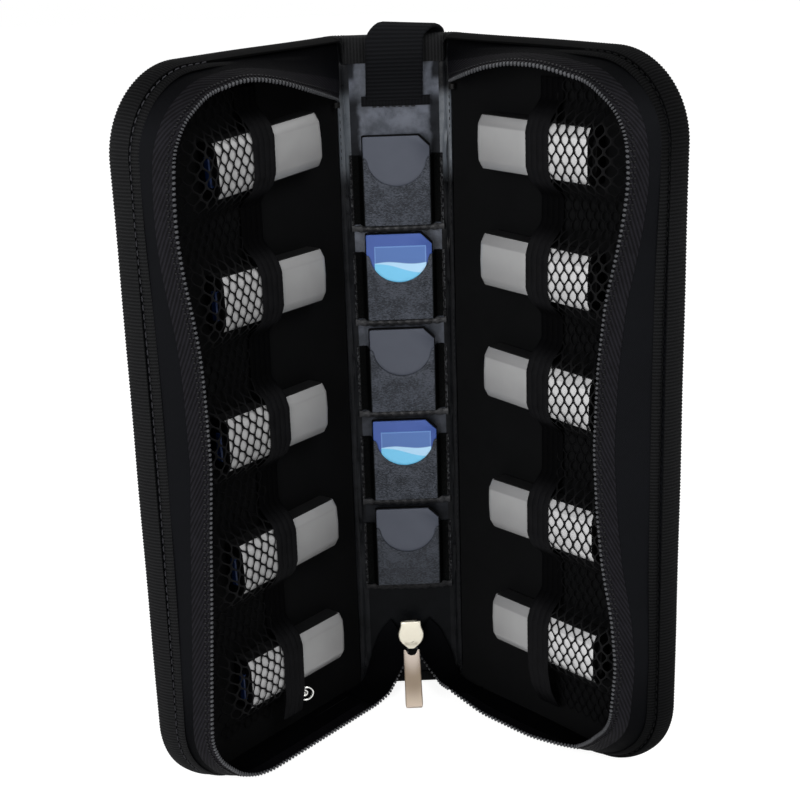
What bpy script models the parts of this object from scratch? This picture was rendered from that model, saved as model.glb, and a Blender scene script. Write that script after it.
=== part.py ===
"""Zip-around drive wallet, standing open like a book on its lower ends.

Metres, +Z up, the viewer looks along +Y. The inner face of the spine looks to -Y,
the two wings fold towards the viewer about upright hinge lines at the spine's sides.
"""
import math

import bmesh
import bpy
from mathutils import Vector

for old in list(bpy.data.objects):
    bpy.data.objects.remove(old, do_unlink=True)

# the whole wallet
HEIGHT = 0.2565
HINGE_X = 0.02025
OPEN_ANGLE = math.radians(49.5)
CORNER_RADIUS = 0.0290
GAP = 0.0003

# stiff panels, linings and the woven edge tape
PANEL_THICK = 0.0034
LINING_THICK = 0.0007
TAPE_THICK = 0.0006
FOLD_RADIUS = 0.0020
TAPE_BACK_LIP = 0.0056
TAPE_ABOVE_WALL_FOOT = 0.0016
LINING_SETBACK = 0.0022
SPINE_TAPE_TOP = 0.0095
SPINE_TAPE_FOOT = 0.0050

# pleated side wall with the zip on its free edge
WALL_THICK = 0.0009
WALL_FOOT_INSET = 0.0017
WALL_START = 0.0042
WALL_END = 0.0132
ZIP_TAPE_WIDTH = 0.0052
ZIP_TAPE_THICK = 0.0007
TOOTH_WIDTH = 0.0019
TOOTH_THICK = 0.0018
TOOTH_COUNT = 84
STRIP_ABOVE_TAPE = 0.0012
STRIP_WIDTH = 0.0026

# share of the run round the rim, then lean and rise of the free edge as shares of
# the zip's full rise
ZIP_RISE = 0.0193
PLEAT_SHARES = {
    "left": (
        (0.000, 1.147, 0.202), (0.019, 1.054, 0.466), (0.044, 0.903, 0.699),
        (0.070, 0.743, 0.896), (0.100, 0.532, 0.974), (0.130, 0.384, 1.000),
        (0.150, 0.369, 1.000), (0.170, 0.453, 1.000), (0.210, 0.541, 1.000),
        (0.250, 0.494, 1.000), (0.300, 0.378, 1.000), (0.330, 0.374, 1.000),
        (0.360, 0.454, 1.000), (0.395, 0.600, 1.000), (0.420, 0.691, 1.000),
        (0.450, 0.739, 1.000), (0.518, 0.765, 1.000), (0.574, 0.642, 1.000),
        (0.615, 0.574, 1.000), (0.658, 0.490, 1.000), (0.700, 0.402, 1.000),
        (0.742, 0.320, 1.000), (0.800, 0.350, 1.000), (0.830, 0.245, 1.000),
        (0.860, 0.085, 1.000), (1.000, 0.078, 1.000),
    ),
    "right": (
        (0.000, 0.873, 0.202), (0.019, 0.791, 0.570), (0.044, 0.633, 0.829),
        (0.070, 0.454, 0.948), (0.100, 0.320, 0.990), (0.130, 0.307, 1.000),
        (0.150, 0.365, 1.000), (0.170, 0.450, 1.000), (0.210, 0.546, 1.000),
        (0.250, 0.487, 1.000), (0.300, 0.392, 1.000), (0.330, 0.487, 1.000),
        (0.360, 0.638, 1.000), (0.395, 0.850, 1.000), (0.420, 0.925, 1.000),
        (0.450, 1.011, 1.000), (0.518, 1.082, 1.000), (0.574, 0.992, 1.000),
        (0.615, 0.870, 1.000), (0.658, 0.640, 1.000), (0.700, 0.530, 1.000),
        (0.742, 0.627, 1.000), (0.800, 0.705, 1.000), (0.830, 0.597, 1.000),
        (0.860, 0.368, 1.000), (0.900, 0.197, 1.000), (0.960, 0.171, 1.000),
        (1.000, 0.344, 1.000),
    ),
}

# rows of that table where the strip starts and where the lean turns even
STRIP_ROW = 2
EVEN_ROW = 7
EVEN_STEPS = 14

# drives under their net pockets
DRIVE_INNER = 0.0235
DRIVE_LENGTH = 0.0512
DRIVE_TO_RIM = 0.0301
DRIVE_WIDTH = 0.0190
DRIVE_THICK = 0.0080
DRIVE_BEVEL_WIDTH = 0.0026
DRIVE_BEVEL_DROP = 0.0014
DRIVE_END_ROUND = 0.0012
PLUG_WIDTH = 0.0120
PLUG_HEIGHT = 0.0045
PLUG_REACH = 0.0014
PLUG_BEVEL = 0.0005
TONGUE_WIDTH = 0.0092
TONGUE_HEIGHT = 0.0018
TONGUE_REACH = 0.0008
DRIVE_ROW_SHARES = {
    "left": (0.8661, 0.6848, 0.4920, 0.3088, 0.1275),
    "right": (0.8637, 0.6990, 0.5349, 0.3411, 0.1587),
}

# how far each drive is pushed out towards the rim, as a share of its length, and its tilt
DRIVE_OUT_SHARES = {
    "left": (-0.036, -0.017, 0.029, -0.028, -0.035),
    "right": (0.024, 0.034, 0.052, 0.086, 0.108),
}
DRIVE_TILTS = {
    "left": (math.radians(-3.7), 0.0, 0.0, math.radians(-1.5), 0.0),
    "right": (0.0, math.radians(-1.0), math.radians(-2.1), math.radians(1.0), 0.0),
}

# net and elastic
TRIM_START_SHARES = {"left": 0.4375, "right": 0.484}
TRIM_WIDTH = 0.0103
TRIM_THICK = 0.0010
NET_MARGIN = 0.0110
NET_THICK = 0.0007
NET_COLUMNS = 3
NET_ROWS = 24
NET_HOLE_SHARE = 0.74
NET_END_MARGIN = 0.0112
COVER_BESIDE = 0.0045
COVER_SLOPE = 0.0060
COVER_ABOVE = 0.0012
COVER_SEAT = 0.0010
COVER_BEYOND = 0.0022

# card pockets on the spine
CARD_WIDTH = 0.0240
CARD_HEIGHT = 0.0320
CARD_THICK = 0.0021
CARD_CHAMFER = 0.0040
CARD_ROW_SHARES = (0.7400, 0.6008, 0.4600, 0.3197, 0.1793)
POCKET_BESIDE = 0.0012
CARD_SHOWN = 0.0075
POCKET_THICK = 0.0008
POCKET_FOOT = 0.0014
NOTCH_BESIDE = 0.0024

# carry loop over the spine's upper end
LOOP_WIDTH = 0.0204
LOOP_THICK = 0.0014
LOOP_SEWN_BELOW = 0.0225
LOOP_SEWN_LENGTH = 0.0025
LOOP_ABOVE = 0.0041
LOOP_FRONT = 0.0065
LOOP_BACK = 0.0052
LOOP_SKEW = 0.0086
LOOP_STEPS = 12
LOOP_SKEW_SHARES = (
    (0.0, 0.0), (0.17, 0.06), (0.33, 0.33), (0.50, 0.68), (0.61, 0.86), (0.72, 0.97),
    (0.83, 1.0), (1.0, 1.0),
)

# zip slider, its pull and the zip ends on the spine
SLIDER_TOP = 0.0300
SLIDER_TIP = 0.0180
SLIDER_HALF_WIDTH = 0.0050
SLIDER_NECK_SHARE = 0.30
SLIDER_BACK_SHARE = 0.62
SLIDER_PLATE = 0.0012
SLIDER_DEPTH = 0.0066
PULL_LENGTH = 0.0245
PULL_WIDTH = 0.0068
PULL_THICK = 0.0012
PULL_FORWARD = math.radians(54.0)
PULL_EYE_RADIUS = 0.0014
PULL_PIN_SHARE = 0.8
TAIL_SHEET = 0.0007
TAIL_TOOTH = 0.0016
TAIL_TOOTH_COUNT = 7
TAIL_START_SHARE = 0.72
TAIL_STEP_SHARES = (
    (0.0, 0.0, 0.0), (0.13, 0.04, 0.32), (0.37, 0.28, 0.60), (0.68, 0.62, 0.82),
    (1.0, 1.0, 1.0),
)
CORNER_START_SHARE = 0.455
CORNER_STEP_SHARES = (
    (0.0, 0.0, 0.0), (0.51, 0.0, 0.35), (0.85, 0.0, 0.66), (1.0, 0.67, 0.87),
    (1.0, 1.0, 1.0),
)
CORNER_RISE = 0.0034
CORNER_FORWARD = 0.0012

# small trims
EYELET_OUTER = 0.0021
EYELET_INNER = 0.0012
EYELET_HEIGHT = 0.0008
EYELET_ASIDE = 0.0106
EYELET_BELOW = 0.0199
STOP_LENGTH = 0.0030
STOP_SIZE = 0.0022

HALF_PANEL = PANEL_THICK / 2
RIM = TAPE_THICK + GAP
PANEL_SETBACK = FOLD_RADIUS + GAP
LINING_FACE = HALF_PANEL + GAP + LINING_THICK
WALL_FOOT = LINING_FACE + GAP + WALL_THICK / 2 + GAP / 2
TAPE_SIDE_RISE = WALL_FOOT + TAPE_ABOVE_WALL_FOOT
STRIP_OFFSET = TAPE_ABOVE_WALL_FOOT + STRIP_ABOVE_TAPE
WALL_RUN = (WALL_START, WALL_END)
TAPE_RUN = (WALL_START, WALL_START)
ARC_STEPS = 7
SLIDER_BACK = LINING_FACE + GAP
LOOP_SEWN_END = HEIGHT - LOOP_SEWN_BELOW
LOOP_TOP = HEIGHT + LOOP_ABOVE
POCKET_WIDTH = CARD_WIDTH + 2 * POCKET_BESIDE
POCKET_HEIGHT = CARD_HEIGHT - CARD_SHOWN
NOTCH_RADIUS = POCKET_WIDTH / 2 - NOTCH_BESIDE
DRIVE_LOW = LINING_FACE + GAP
DRIVE_TOP = DRIVE_LOW + DRIVE_THICK
DRIVE_OUTER = DRIVE_INNER + DRIVE_LENGTH
PLUG_END = DRIVE_OUTER + PLUG_REACH + TONGUE_REACH
WING_REACH = PLUG_END + DRIVE_TO_RIM
TRIM_INNER = {side: DRIVE_INNER + DRIVE_LENGTH * share
              for side, share in TRIM_START_SHARES.items()}
LAST_PLUG = {side: PLUG_END + DRIVE_LENGTH * max(shares)
             for side, shares in DRIVE_OUT_SHARES.items()}
NET_OUTER = {side: reach + NET_MARGIN for side, reach in LAST_PLUG.items()}
COVER_HALF = DRIVE_WIDTH / 2 + COVER_BESIDE
SLOPE_HALF = COVER_HALF + COVER_SLOPE
COVER_HIGH = DRIVE_TOP + COVER_ABOVE
COVER_LOW = LINING_FACE + COVER_SEAT
COVER_FALL_START = {side: reach + COVER_BEYOND for side, reach in LAST_PLUG.items()}
CARD_PITCH = HEIGHT * (CARD_ROW_SHARES[0] - CARD_ROW_SHARES[1])
CARD_LEAN = math.asin((CARD_THICK + POCKET_THICK + 3 * GAP) / CARD_PITCH)
DRIVE_ROWS = {side: [HEIGHT * share for share in shares]
              for side, shares in DRIVE_ROW_SHARES.items()}
SIDES = {"left": -1, "right": 1}

BLACK = (0.020, 0.020, 0.022)
CHARCOAL = (0.035, 0.035, 0.038)
TEETH_GREY = (0.16, 0.16, 0.17)
SILVER = (0.62, 0.62, 0.60)
CHAMPAGNE = (0.78, 0.70, 0.56)
CARD_GREY = (0.070, 0.078, 0.095)
CARD_BLUE = (0.050, 0.075, 0.50)


def material(name, colour, roughness, metallic=0.0):
    """Plain Principled material."""
    made = bpy.data.materials.new(name)
    made.use_nodes = True
    shader = made.node_tree.nodes["Principled BSDF"]
    shader.inputs["Base Color"].default_value = (*colour, 1.0)
    shader.inputs["Roughness"].default_value = roughness
    shader.inputs["Metallic"].default_value = metallic
    return made


def add_solid(mesh, rings, closed=False):
    """Join rings of equal length with quads and cap the ends, or close the run."""
    loops = [[mesh.verts.new(point) for point in ring] for ring in rings]
    pairs = list(zip(loops, loops[1:]))
    if closed:
        pairs.append((loops[-1], loops[0]))
    else:
        mesh.faces.new(loops[0])
        mesh.faces.new(loops[-1])
    for one, two in pairs:
        for at in range(len(one)):
            after = (at + 1) % len(one)
            mesh.faces.new((one[at], one[after], two[after], two[at]))


def finish_node(name, mesh, colour, roughness, metallic=0.0):
    """Turn a bmesh into a named object with its own material."""
    bmesh.ops.triangulate(mesh, faces=mesh.faces[:])
    bmesh.ops.recalc_face_normals(mesh, faces=mesh.faces[:])
    data = bpy.data.meshes.new(name)
    mesh.to_mesh(data)
    mesh.free()
    data.materials.append(material(name + "_mat", colour, roughness, metallic))
    made = bpy.data.objects.new(name, data)
    bpy.context.scene.collection.objects.link(made)
    return made


def node(name, solids, colour, roughness, metallic=0.0):
    """One object from open-ended runs of rings."""
    mesh = bmesh.new()
    for rings in solids:
        add_solid(mesh, rings)
    return finish_node(name, mesh, colour, roughness, metallic)


def on_wing(side, reach, rise, z):
    """Point of a wing: reach from the hinge, rise above mid-panel, height."""
    across, ahead = math.cos(OPEN_ANGLE), math.sin(OPEN_ANGLE)
    sign = SIDES[side]
    x = HINGE_X + reach * across - rise * ahead
    return (sign * x, -reach * ahead - rise * across, z)


def blend(table, share):
    """Values of a table of (share, ...) rows at a share."""
    for one, two in zip(table, table[1:]):
        if share <= two[0]:
            part = (share - one[0]) / (two[0] - one[0])
            return [a + (b - a) * part for a, b in zip(one[1:], two[1:])]
    return list(table[-1][1:])


def rim_lengths(run):
    """Lengths of the five stretches of the rim, from the upper hinge end on."""
    straight_top = WING_REACH - CORNER_RADIUS - run[0]
    straight_side = HEIGHT - 2 * CORNER_RADIUS
    straight_foot = WING_REACH - CORNER_RADIUS - run[1]
    arc = CORNER_RADIUS * math.pi / 2
    return straight_top, arc, straight_side, arc, straight_foot


def rim_at(run, share):
    """Point on the rim and its inward direction, both in reach and height."""
    top, arc, side, _, _ = rim_lengths(run)
    along = share * sum(rim_lengths(run))
    turn = WING_REACH - CORNER_RADIUS
    if along <= top:
        return run[0] + along, HEIGHT, 0.0, -1.0
    along -= top
    if along <= arc:
        angle = math.pi / 2 - along / CORNER_RADIUS
        return corner_point(turn, HEIGHT - CORNER_RADIUS, angle)
    along -= arc
    if along <= side:
        return WING_REACH, HEIGHT - CORNER_RADIUS - along, -1.0, 0.0
    along -= side
    if along <= arc:
        return corner_point(turn, CORNER_RADIUS, -along / CORNER_RADIUS)
    return turn - (along - arc), 0.0, 0.0, 1.0


def corner_point(reach, z, angle):
    """Point of a rounded corner with its inward direction."""
    out_reach, out_z = math.cos(angle), math.sin(angle)
    return (reach + CORNER_RADIUS * out_reach, z + CORNER_RADIUS * out_z,
            -out_reach, -out_z)


def rim_shares(run, arc_steps):
    """Shares of the run that catch both corners of the rim."""
    total = sum(rim_lengths(run))
    shares, start = [0.0], 0.0
    for length, count in zip(rim_lengths(run), (1, arc_steps, 1, arc_steps, 1)):
        shares += [(start + length * (at + 1) / count) / total for at in range(count)]
        start += length
    return shares


def rim_band(side, run, shares, section):
    """Run of rings round the rim; the section gives (inset, rise) at a share."""
    rings = []
    for share in shares:
        reach, z, in_reach, in_z = rim_at(run, share)
        rings.append([
            on_wing(side, reach + in_reach * inset, rise, z + in_z * inset)
            for inset, rise in section(share)])
    return rings


def wall_section(side, share, low, high, inner, outer):
    """Strip of the leaning wall between two widths and two offsets from its middle.

    Negative widths are counted back from the free edge.
    """
    lean, rise = (ZIP_RISE * part for part in blend(PLEAT_SHARES[side], share))
    long_way = math.hypot(lean - WALL_FOOT_INSET, rise - WALL_FOOT)
    along = ((lean - WALL_FOOT_INSET) / long_way, (rise - WALL_FOOT) / long_way)
    low = low + long_way if low < 0 else low
    high = high + long_way if high <= 0 else high
    corners = ((low, -outer), (high, -outer), (high, inner), (low, inner))
    return [(WALL_FOOT_INSET + along[0] * width + along[1] * aside,
             WALL_FOOT + along[1] * width - along[0] * aside)
            for width, aside in corners]


def wing_outline(setback, inset, steps):
    """Flat outline of a wing, set back from the hinge and inside the rim."""
    radius = CORNER_RADIUS - inset
    turn = WING_REACH - CORNER_RADIUS
    points = [(setback, HEIGHT - inset)]
    for middle, start in ((HEIGHT - CORNER_RADIUS, math.pi / 2), (CORNER_RADIUS, 0.0)):
        for at in range(steps + 1):
            angle = start - math.pi / 2 * at / steps
            points.append((turn + radius * math.cos(angle),
                           middle + radius * math.sin(angle)))
    points.append((setback, inset))
    return points


def wing_slab(side, outline, low, high):
    """Flat piece of a wing between two rises."""
    return [[on_wing(side, reach, rise, z) for reach, z in outline]
            for rise in (low, high)]


def box(low, high):
    """Two rings of an upright box."""
    corners = ((low[0], low[1]), (high[0], low[1]), (high[0], high[1]), (low[0], high[1]))
    return [[(x, y, z) for x, y in corners] for z in (low[2], high[2])]


def wing_box(side, reach, rise, z):
    """Box on a wing from (low, high) pairs."""
    corners = ((reach[0], rise[0]), (reach[1], rise[0]), (reach[1], rise[1]),
               (reach[0], rise[1]))
    return [[on_wing(side, *corner, level) for corner in corners] for level in z]


def spine_tape(low, high, lip):
    """Woven tape wrapped over an end of the spine; the lip reaches along its faces."""
    half = HINGE_X - PANEL_SETBACK
    front, back = -LINING_FACE - GAP, HALF_PANEL + GAP
    stations = ((front, lip, front - TAPE_THICK, lip), (front, low, front - TAPE_THICK, high),
                (back, low, back + TAPE_THICK, high), (back, lip, back + TAPE_THICK, lip))
    return [[(-half, y, z), (half, y, z), (half, outer_y, outer_z), (-half, outer_y, outer_z)]
            for y, z, outer_y, outer_z in stations]


def make_spine():
    """Panel, lining, tapes and the two upright folds that carry the wings."""
    half = HINGE_X - PANEL_SETBACK
    node("spine_panel",
         [box((-half, -HALF_PANEL, RIM), (half, HALF_PANEL, HEIGHT - RIM))],
         BLACK, 0.8)
    lining_half = half - LINING_THICK
    node("spine_lining",
         [box((-lining_half, -LINING_FACE, RIM),
              (lining_half, -HALF_PANEL - GAP, HEIGHT - RIM))],
         CHARCOAL, 0.3)
    top = spine_tape(HEIGHT - TAPE_THICK, HEIGHT, HEIGHT - SPINE_TAPE_TOP)
    foot = spine_tape(TAPE_THICK, 0.0, SPINE_TAPE_FOOT)
    node("spine_tape_top", [top], BLACK, 0.85)
    node("spine_tape_foot", [foot], BLACK, 0.85)
    for side, sign in SIDES.items():
        ring = [(sign * HINGE_X + FOLD_RADIUS * math.cos(turn),
                 FOLD_RADIUS * math.sin(turn))
                for turn in (math.pi * at / 7 for at in range(14))]
        rings = [[(x, y, z) for x, y in ring] for z in (0.0, HEIGHT)]
        node(f"hinge_fold_{side}", [rings], CHARCOAL, 0.4)


def lean_point(x, base, up, out):
    """Point on a card's tilted plane: up along it, out from its back."""
    start = LINING_FACE + GAP
    y = -start - up * math.sin(CARD_LEAN) - out * math.cos(CARD_LEAN)
    z = base + up * math.cos(CARD_LEAN) - out * math.sin(CARD_LEAN)
    return (x, y, z)


def card_outline():
    """Card seen from the front, with its cut corner at the upper right."""
    half = CARD_WIDTH / 2
    return ((-half, 0.0), (half, 0.0), (half, CARD_HEIGHT - CARD_CHAMFER),
            (half - CARD_CHAMFER, CARD_HEIGHT), (-half, CARD_HEIGHT))


def pocket_section(x, top):
    """Foot under the card and the sheet in front of it, cut across."""
    front = CARD_THICK + GAP
    back = GAP / 2
    points = ((-GAP - POCKET_FOOT, back), (-GAP - POCKET_FOOT, front + POCKET_THICK),
              (top, front + POCKET_THICK), (top, front), (-GAP, front), (-GAP, back))
    return [(x, up, out) for up, out in points]


def pocket_stations():
    """Positions across a pocket with the height of its notched upper edge."""
    half, steps = POCKET_WIDTH / 2, 12
    stations = [(-half, POCKET_HEIGHT), (-NOTCH_RADIUS - GAP, POCKET_HEIGHT)]
    for at in range(steps + 1):
        angle = math.pi * (1 - at / steps)
        drop = NOTCH_RADIUS * math.sin(angle)
        stations.append((NOTCH_RADIUS * math.cos(angle), POCKET_HEIGHT - GAP - drop))
    return stations + [(NOTCH_RADIUS + GAP, POCKET_HEIGHT), (half, POCKET_HEIGHT)]


def make_cards():
    """Five pockets down the spine, each with a card."""
    for row, share in enumerate(CARD_ROW_SHARES, 1):
        base = HEIGHT * share
        rings = [[lean_point(x, base, up, out) for x, up, out in pocket_section(x, top)]
                 for x, top in pocket_stations()]
        node(f"card_pocket_{row}", [rings], CHARCOAL, 0.35)
        card = [[lean_point(x, base, up, out) for x, up in card_outline()]
                for out in (GAP / 2, CARD_THICK)]
        colour = CARD_BLUE if row in (2, 4) else CARD_GREY
        node(f"memory_card_{row}", [card], colour, 0.45)


def loop_path():
    """Middle line of the carry strap from its inner to its outer sewn end."""
    front_seat = -LINING_FACE - GAP - LOOP_THICK / 2
    back_seat = HALF_PANEL + GAP + LOOP_THICK / 2
    rest = HEIGHT - LOOP_FRONT
    sewn = LOOP_SEWN_END + LOOP_SEWN_LENGTH
    half_way = (sewn + rest) / 2
    middle = (LOOP_BACK - LOOP_FRONT) / 2
    radius = (LOOP_BACK + LOOP_FRONT) / 2
    points = [(front_seat, LOOP_SEWN_END), (front_seat, sewn),
              ((front_seat - LOOP_FRONT) / 2, half_way)]
    for at in range(LOOP_STEPS + 1):
        angle = math.pi * (1 - at / LOOP_STEPS)
        points.append((middle + radius * math.cos(angle),
                       rest + (LOOP_TOP - LOOP_THICK / 2 - rest) * math.sin(angle)))
    return points + [((back_seat + LOOP_BACK) / 2, half_way), (back_seat, sewn),
                     (back_seat, LOOP_SEWN_END)]


def make_loop():
    """Webbing strap over the upper end, its outer leg further to the right."""
    path = loop_path()
    rings = []
    for at, (y, z) in enumerate(path):
        before, after = path[max(at - 1, 0)], path[min(at + 1, len(path) - 1)]
        run = math.hypot(after[0] - before[0], after[1] - before[1])
        out = (-(after[1] - before[1]) / run, (after[0] - before[0]) / run)
        shift = LOOP_SKEW * blend(LOOP_SKEW_SHARES, at / (len(path) - 1))[0]
        half = LOOP_THICK / 2
        rings.append([(x + shift, y + out[0] * off, z + out[1] * off)
                      for x, off in ((-LOOP_WIDTH / 2, -half), (LOOP_WIDTH / 2, -half),
                                     (LOOP_WIDTH / 2, half), (-LOOP_WIDTH / 2, half))])
    node("carry_loop", [rings], BLACK, 0.85)


def shield_outline(share):
    """Slider plate seen from the front, scaled about its middle."""
    length = SLIDER_TOP - SLIDER_TIP
    middle = (SLIDER_TOP + SLIDER_TIP) / 2
    shape = ((-0.62, 0.5), (0.62, 0.5), (0.94, 0.28), (1.0, 0.06), (0.78, -0.20),
             (0.18, -0.5), (-0.18, -0.5), (-0.78, -0.20), (-1.0, 0.06), (-0.94, 0.28))
    return [(x * SLIDER_HALF_WIDTH * share, middle + z * length * share) for x, z in shape]


def make_slider():
    """Two shield plates joined by a neck that runs between the zip halves."""
    front = SLIDER_BACK + SLIDER_DEPTH
    levels = ((SLIDER_BACK, SLIDER_BACK_SHARE),
              (SLIDER_BACK + SLIDER_PLATE, SLIDER_BACK_SHARE),
              (SLIDER_BACK + SLIDER_PLATE, SLIDER_NECK_SHARE),
              (front - SLIDER_PLATE, SLIDER_NECK_SHARE), (front - SLIDER_PLATE, 1.0),
              (front - SLIDER_PLATE / 3, 1.0), (front, 0.86))
    rings = [[(x, -out, z) for x, z in shield_outline(share)] for out, share in levels]
    node("zip_slider", [rings], CHAMPAGNE, 0.3, 0.7)


def pull_point(x, down, out):
    """Point of the pull, down its length from the pin and out from its middle."""
    pin_y = -(SLIDER_BACK + SLIDER_DEPTH + GAP + PULL_THICK * PULL_PIN_SHARE)
    pin_z = SLIDER_TIP + PULL_EYE_RADIUS
    sine, cosine = math.sin(PULL_FORWARD), math.cos(PULL_FORWARD)
    return (x, pin_y - down * sine - out * cosine, pin_z - down * cosine + out * sine)


def make_pull():
    """Flat tab with a round eye, hanging forward from the slider's tip."""
    half, steps = PULL_WIDTH / 2, 6
    top = [(half * math.cos(math.pi * at / steps),
            -PULL_EYE_RADIUS * 0.5 * math.sin(math.pi * at / steps))
           for at in range(steps + 1)]
    foot = [(-half * 0.94, PULL_LENGTH - half * 0.3), (-half * 0.7, PULL_LENGTH),
            (half * 0.7, PULL_LENGTH), (half * 0.94, PULL_LENGTH - half * 0.3)]
    rings = [[pull_point(x, down, out) for x, down in top + foot]
             for out in (-PULL_THICK / 2, PULL_THICK / 2)]
    node("zip_pull", [rings], CHAMPAGNE, 0.3, 0.7)


def path_at(path, share):
    """Point of an open path at a share of its corners."""
    at = min(int(share * (len(path) - 1)), len(path) - 2)
    part = share * (len(path) - 1) - at
    return [a + (b - a) * part for a, b in zip(path[at], path[at + 1])]


def sheet(edge_one, edge_two, thick):
    """Thin sheet between two edges given point by point."""
    rings, last = [], len(edge_one) - 1
    for at in range(last + 1):
        before, after = max(at - 1, 0), min(at + 1, last)
        one, two = Vector(edge_one[at]), Vector(edge_two[at])
        along = (Vector(edge_one[after]) + Vector(edge_two[after])
                 - Vector(edge_one[before]) - Vector(edge_two[before]))
        lift = (two - one).cross(along).normalized() * thick / 2
        rings.append([one - lift, two - lift, two + lift, one + lift])
    return rings


def zip_tail_path(side):
    """Middle line of the first teeth, from between the slider's plates to the wall."""
    middle = -SLIDER_BACK - SLIDER_DEPTH / 2
    start = (SLIDER_HALF_WIDTH * TAIL_START_SHARE, middle, SLIDER_TIP + SLIDER_PLATE * 1.6)
    _, end_lean, end_rise = PLEAT_SHARES[side][-1]
    x, y, z = on_wing("right", WALL_END, ZIP_RISE * end_rise, ZIP_RISE * end_lean + TOOTH_THICK)
    end = (x + TAIL_TOOTH * 0.6, y + GAP, z)
    return [tuple(a + (b - a) * share for a, b, share in zip(start, end, shares))
            for shares in TAIL_STEP_SHARES]


def zip_corner_path():
    """Edge of the cloth corner that is sewn down the side of the spine's lining."""
    seat = -LINING_FACE - GAP - TAIL_SHEET / 2
    start = (HINGE_X * CORNER_START_SHARE, seat, SLIDER_TOP - SLIDER_PLATE)
    end = (HINGE_X - PANEL_SETBACK - TAIL_SHEET * 1.9, seat - CORNER_FORWARD, CORNER_RISE)
    return [tuple(a + (b - a) * share for a, b, share in zip(start, end, shares))
            for shares in CORNER_STEP_SHARES]


def make_zip_tails():
    """Cloth corners with the zip's first teeth, from the slider to the wings."""
    corner = zip_corner_path()
    for side, sign in SIDES.items():
        tail = zip_tail_path(side)
        inner, outer = ([(sign * x, y, z) for x, y, z in path] for path in (corner, tail))
        node(f"zip_corner_{side}", [sheet(inner, outer, TAIL_SHEET)], BLACK, 0.8)
        rings = []
        for at in range(2 * TAIL_TOOTH_COUNT + 1):
            x, y, z = path_at(tail, at / (2 * TAIL_TOOTH_COUNT))
            size = TAIL_TOOTH * (0.5 if at % 2 else 0.32)
            x -= TAIL_TOOTH * 0.6 + GAP
            rings.append([(sign * (x + a * size), y - b * size, z + b * size * 0.6)
                          for a, b in ((-1, -1), (1, -1), (1, 1), (-1, 1))])
        node(f"zip_tail_teeth_{side}", [rings], TEETH_GREY, 0.45)


def cover_rise(side, reach, z):
    """Rise of net and elastic: high over the drives, low between them."""
    nearest = min(abs(z - row) for row in DRIVE_ROWS[side])
    share = (SLOPE_HALF - nearest) / (SLOPE_HALF - COVER_HALF)
    share = min(max(share, 0.0), 1.0)
    fall = (reach - COVER_FALL_START[side]) / (NET_OUTER[side] - COVER_FALL_START[side])
    fall = min(max(fall, 0.0), 1.0)
    share *= 1 - fall * fall * (3 - 2 * fall)
    return COVER_LOW + (COVER_HIGH - COVER_LOW) * share


def cover_span(side):
    """Lower and upper end of the net and the elastic."""
    rows = DRIVE_ROWS[side]
    low = max(rows[-1] - SLOPE_HALF - GAP, NET_END_MARGIN)
    return low, min(rows[0] + SLOPE_HALF + GAP, HEIGHT - NET_END_MARGIN)


def make_trim(side):
    """Elastic band that holds the drives across their middles."""
    low, high = cover_span(side)
    inner = TRIM_INNER[side]
    levels = {low, high}
    for row in DRIVE_ROWS[side]:
        levels |= {row - SLOPE_HALF, row - COVER_HALF, row + COVER_HALF, row + SLOPE_HALF}
    levels = sorted(min(max(level, low), high) for level in levels)
    rings = []
    for z in levels:
        rise = cover_rise(side, inner, z)
        rings.append([on_wing(side, reach, rise + off, z) for reach, off in (
            (inner, -TRIM_THICK / 2), (inner + TRIM_WIDTH, -TRIM_THICK / 2),
            (inner + TRIM_WIDTH, TRIM_THICK / 2), (inner, TRIM_THICK / 2))])
    kept = [rings[0]]
    for ring in rings[1:]:
        if ring[0][2] - kept[-1][0][2] > GAP / 2:
            kept.append(ring)
    node(f"elastic_trim_{side}", [kept], BLACK, 0.75)


class Net:
    """Diamond lattice laid over the drives, built as one closed sheet."""

    def __init__(self, side):
        self.side = side
        self.mesh = bmesh.new()
        self.known = {}
        self.low, self.high = cover_span(side)
        self.start = TRIM_INNER[side] + TRIM_WIDTH + GAP
        self.end = NET_OUTER[side]

    def vertex(self, column, row, face):
        """Vertex at a lattice place on the upper or lower face."""
        key = (round(column, 4), round(row, 4), face)
        if key not in self.known:
            reach = self.start + (self.end - self.start) * column / NET_COLUMNS
            z = self.low + (self.high - self.low) * row / NET_ROWS
            rise = cover_rise(self.side, reach, z) + face * NET_THICK / 2
            self.known[key] = self.mesh.verts.new(on_wing(self.side, reach, rise, z))
        return self.known[key]

    def face(self, places, face):
        """Polygon of lattice places on one face of the sheet."""
        self.mesh.faces.new([self.vertex(*place, face) for place in places])

    def wall(self, one, two):
        """Strip between the two faces along one lattice edge."""
        self.mesh.faces.new([self.vertex(*one, 1), self.vertex(*two, 1),
                             self.vertex(*two, -1), self.vertex(*one, -1)])

    def cell(self, column, row):
        """Whole diamond with its gap."""
        outer = [(column - 0.5, row), (column, row - 0.5), (column + 0.5, row),
                 (column, row + 0.5)]
        share = NET_HOLE_SHARE
        inner = [(column + (a - column) * share, row + (b - row) * share) for a, b in outer]
        for at in range(4):
            after = (at + 1) % 4
            for face in (1, -1):
                self.face((outer[at], outer[after], inner[after], inner[at]), face)
            self.wall(inner[at], inner[after])

    def hem(self, corner_one, tip, corner_two):
        """Half diamond closed as part of the hem."""
        for face in (1, -1):
            self.face((corner_one, tip, corner_two), face)
        self.wall(corner_one, corner_two)


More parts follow.
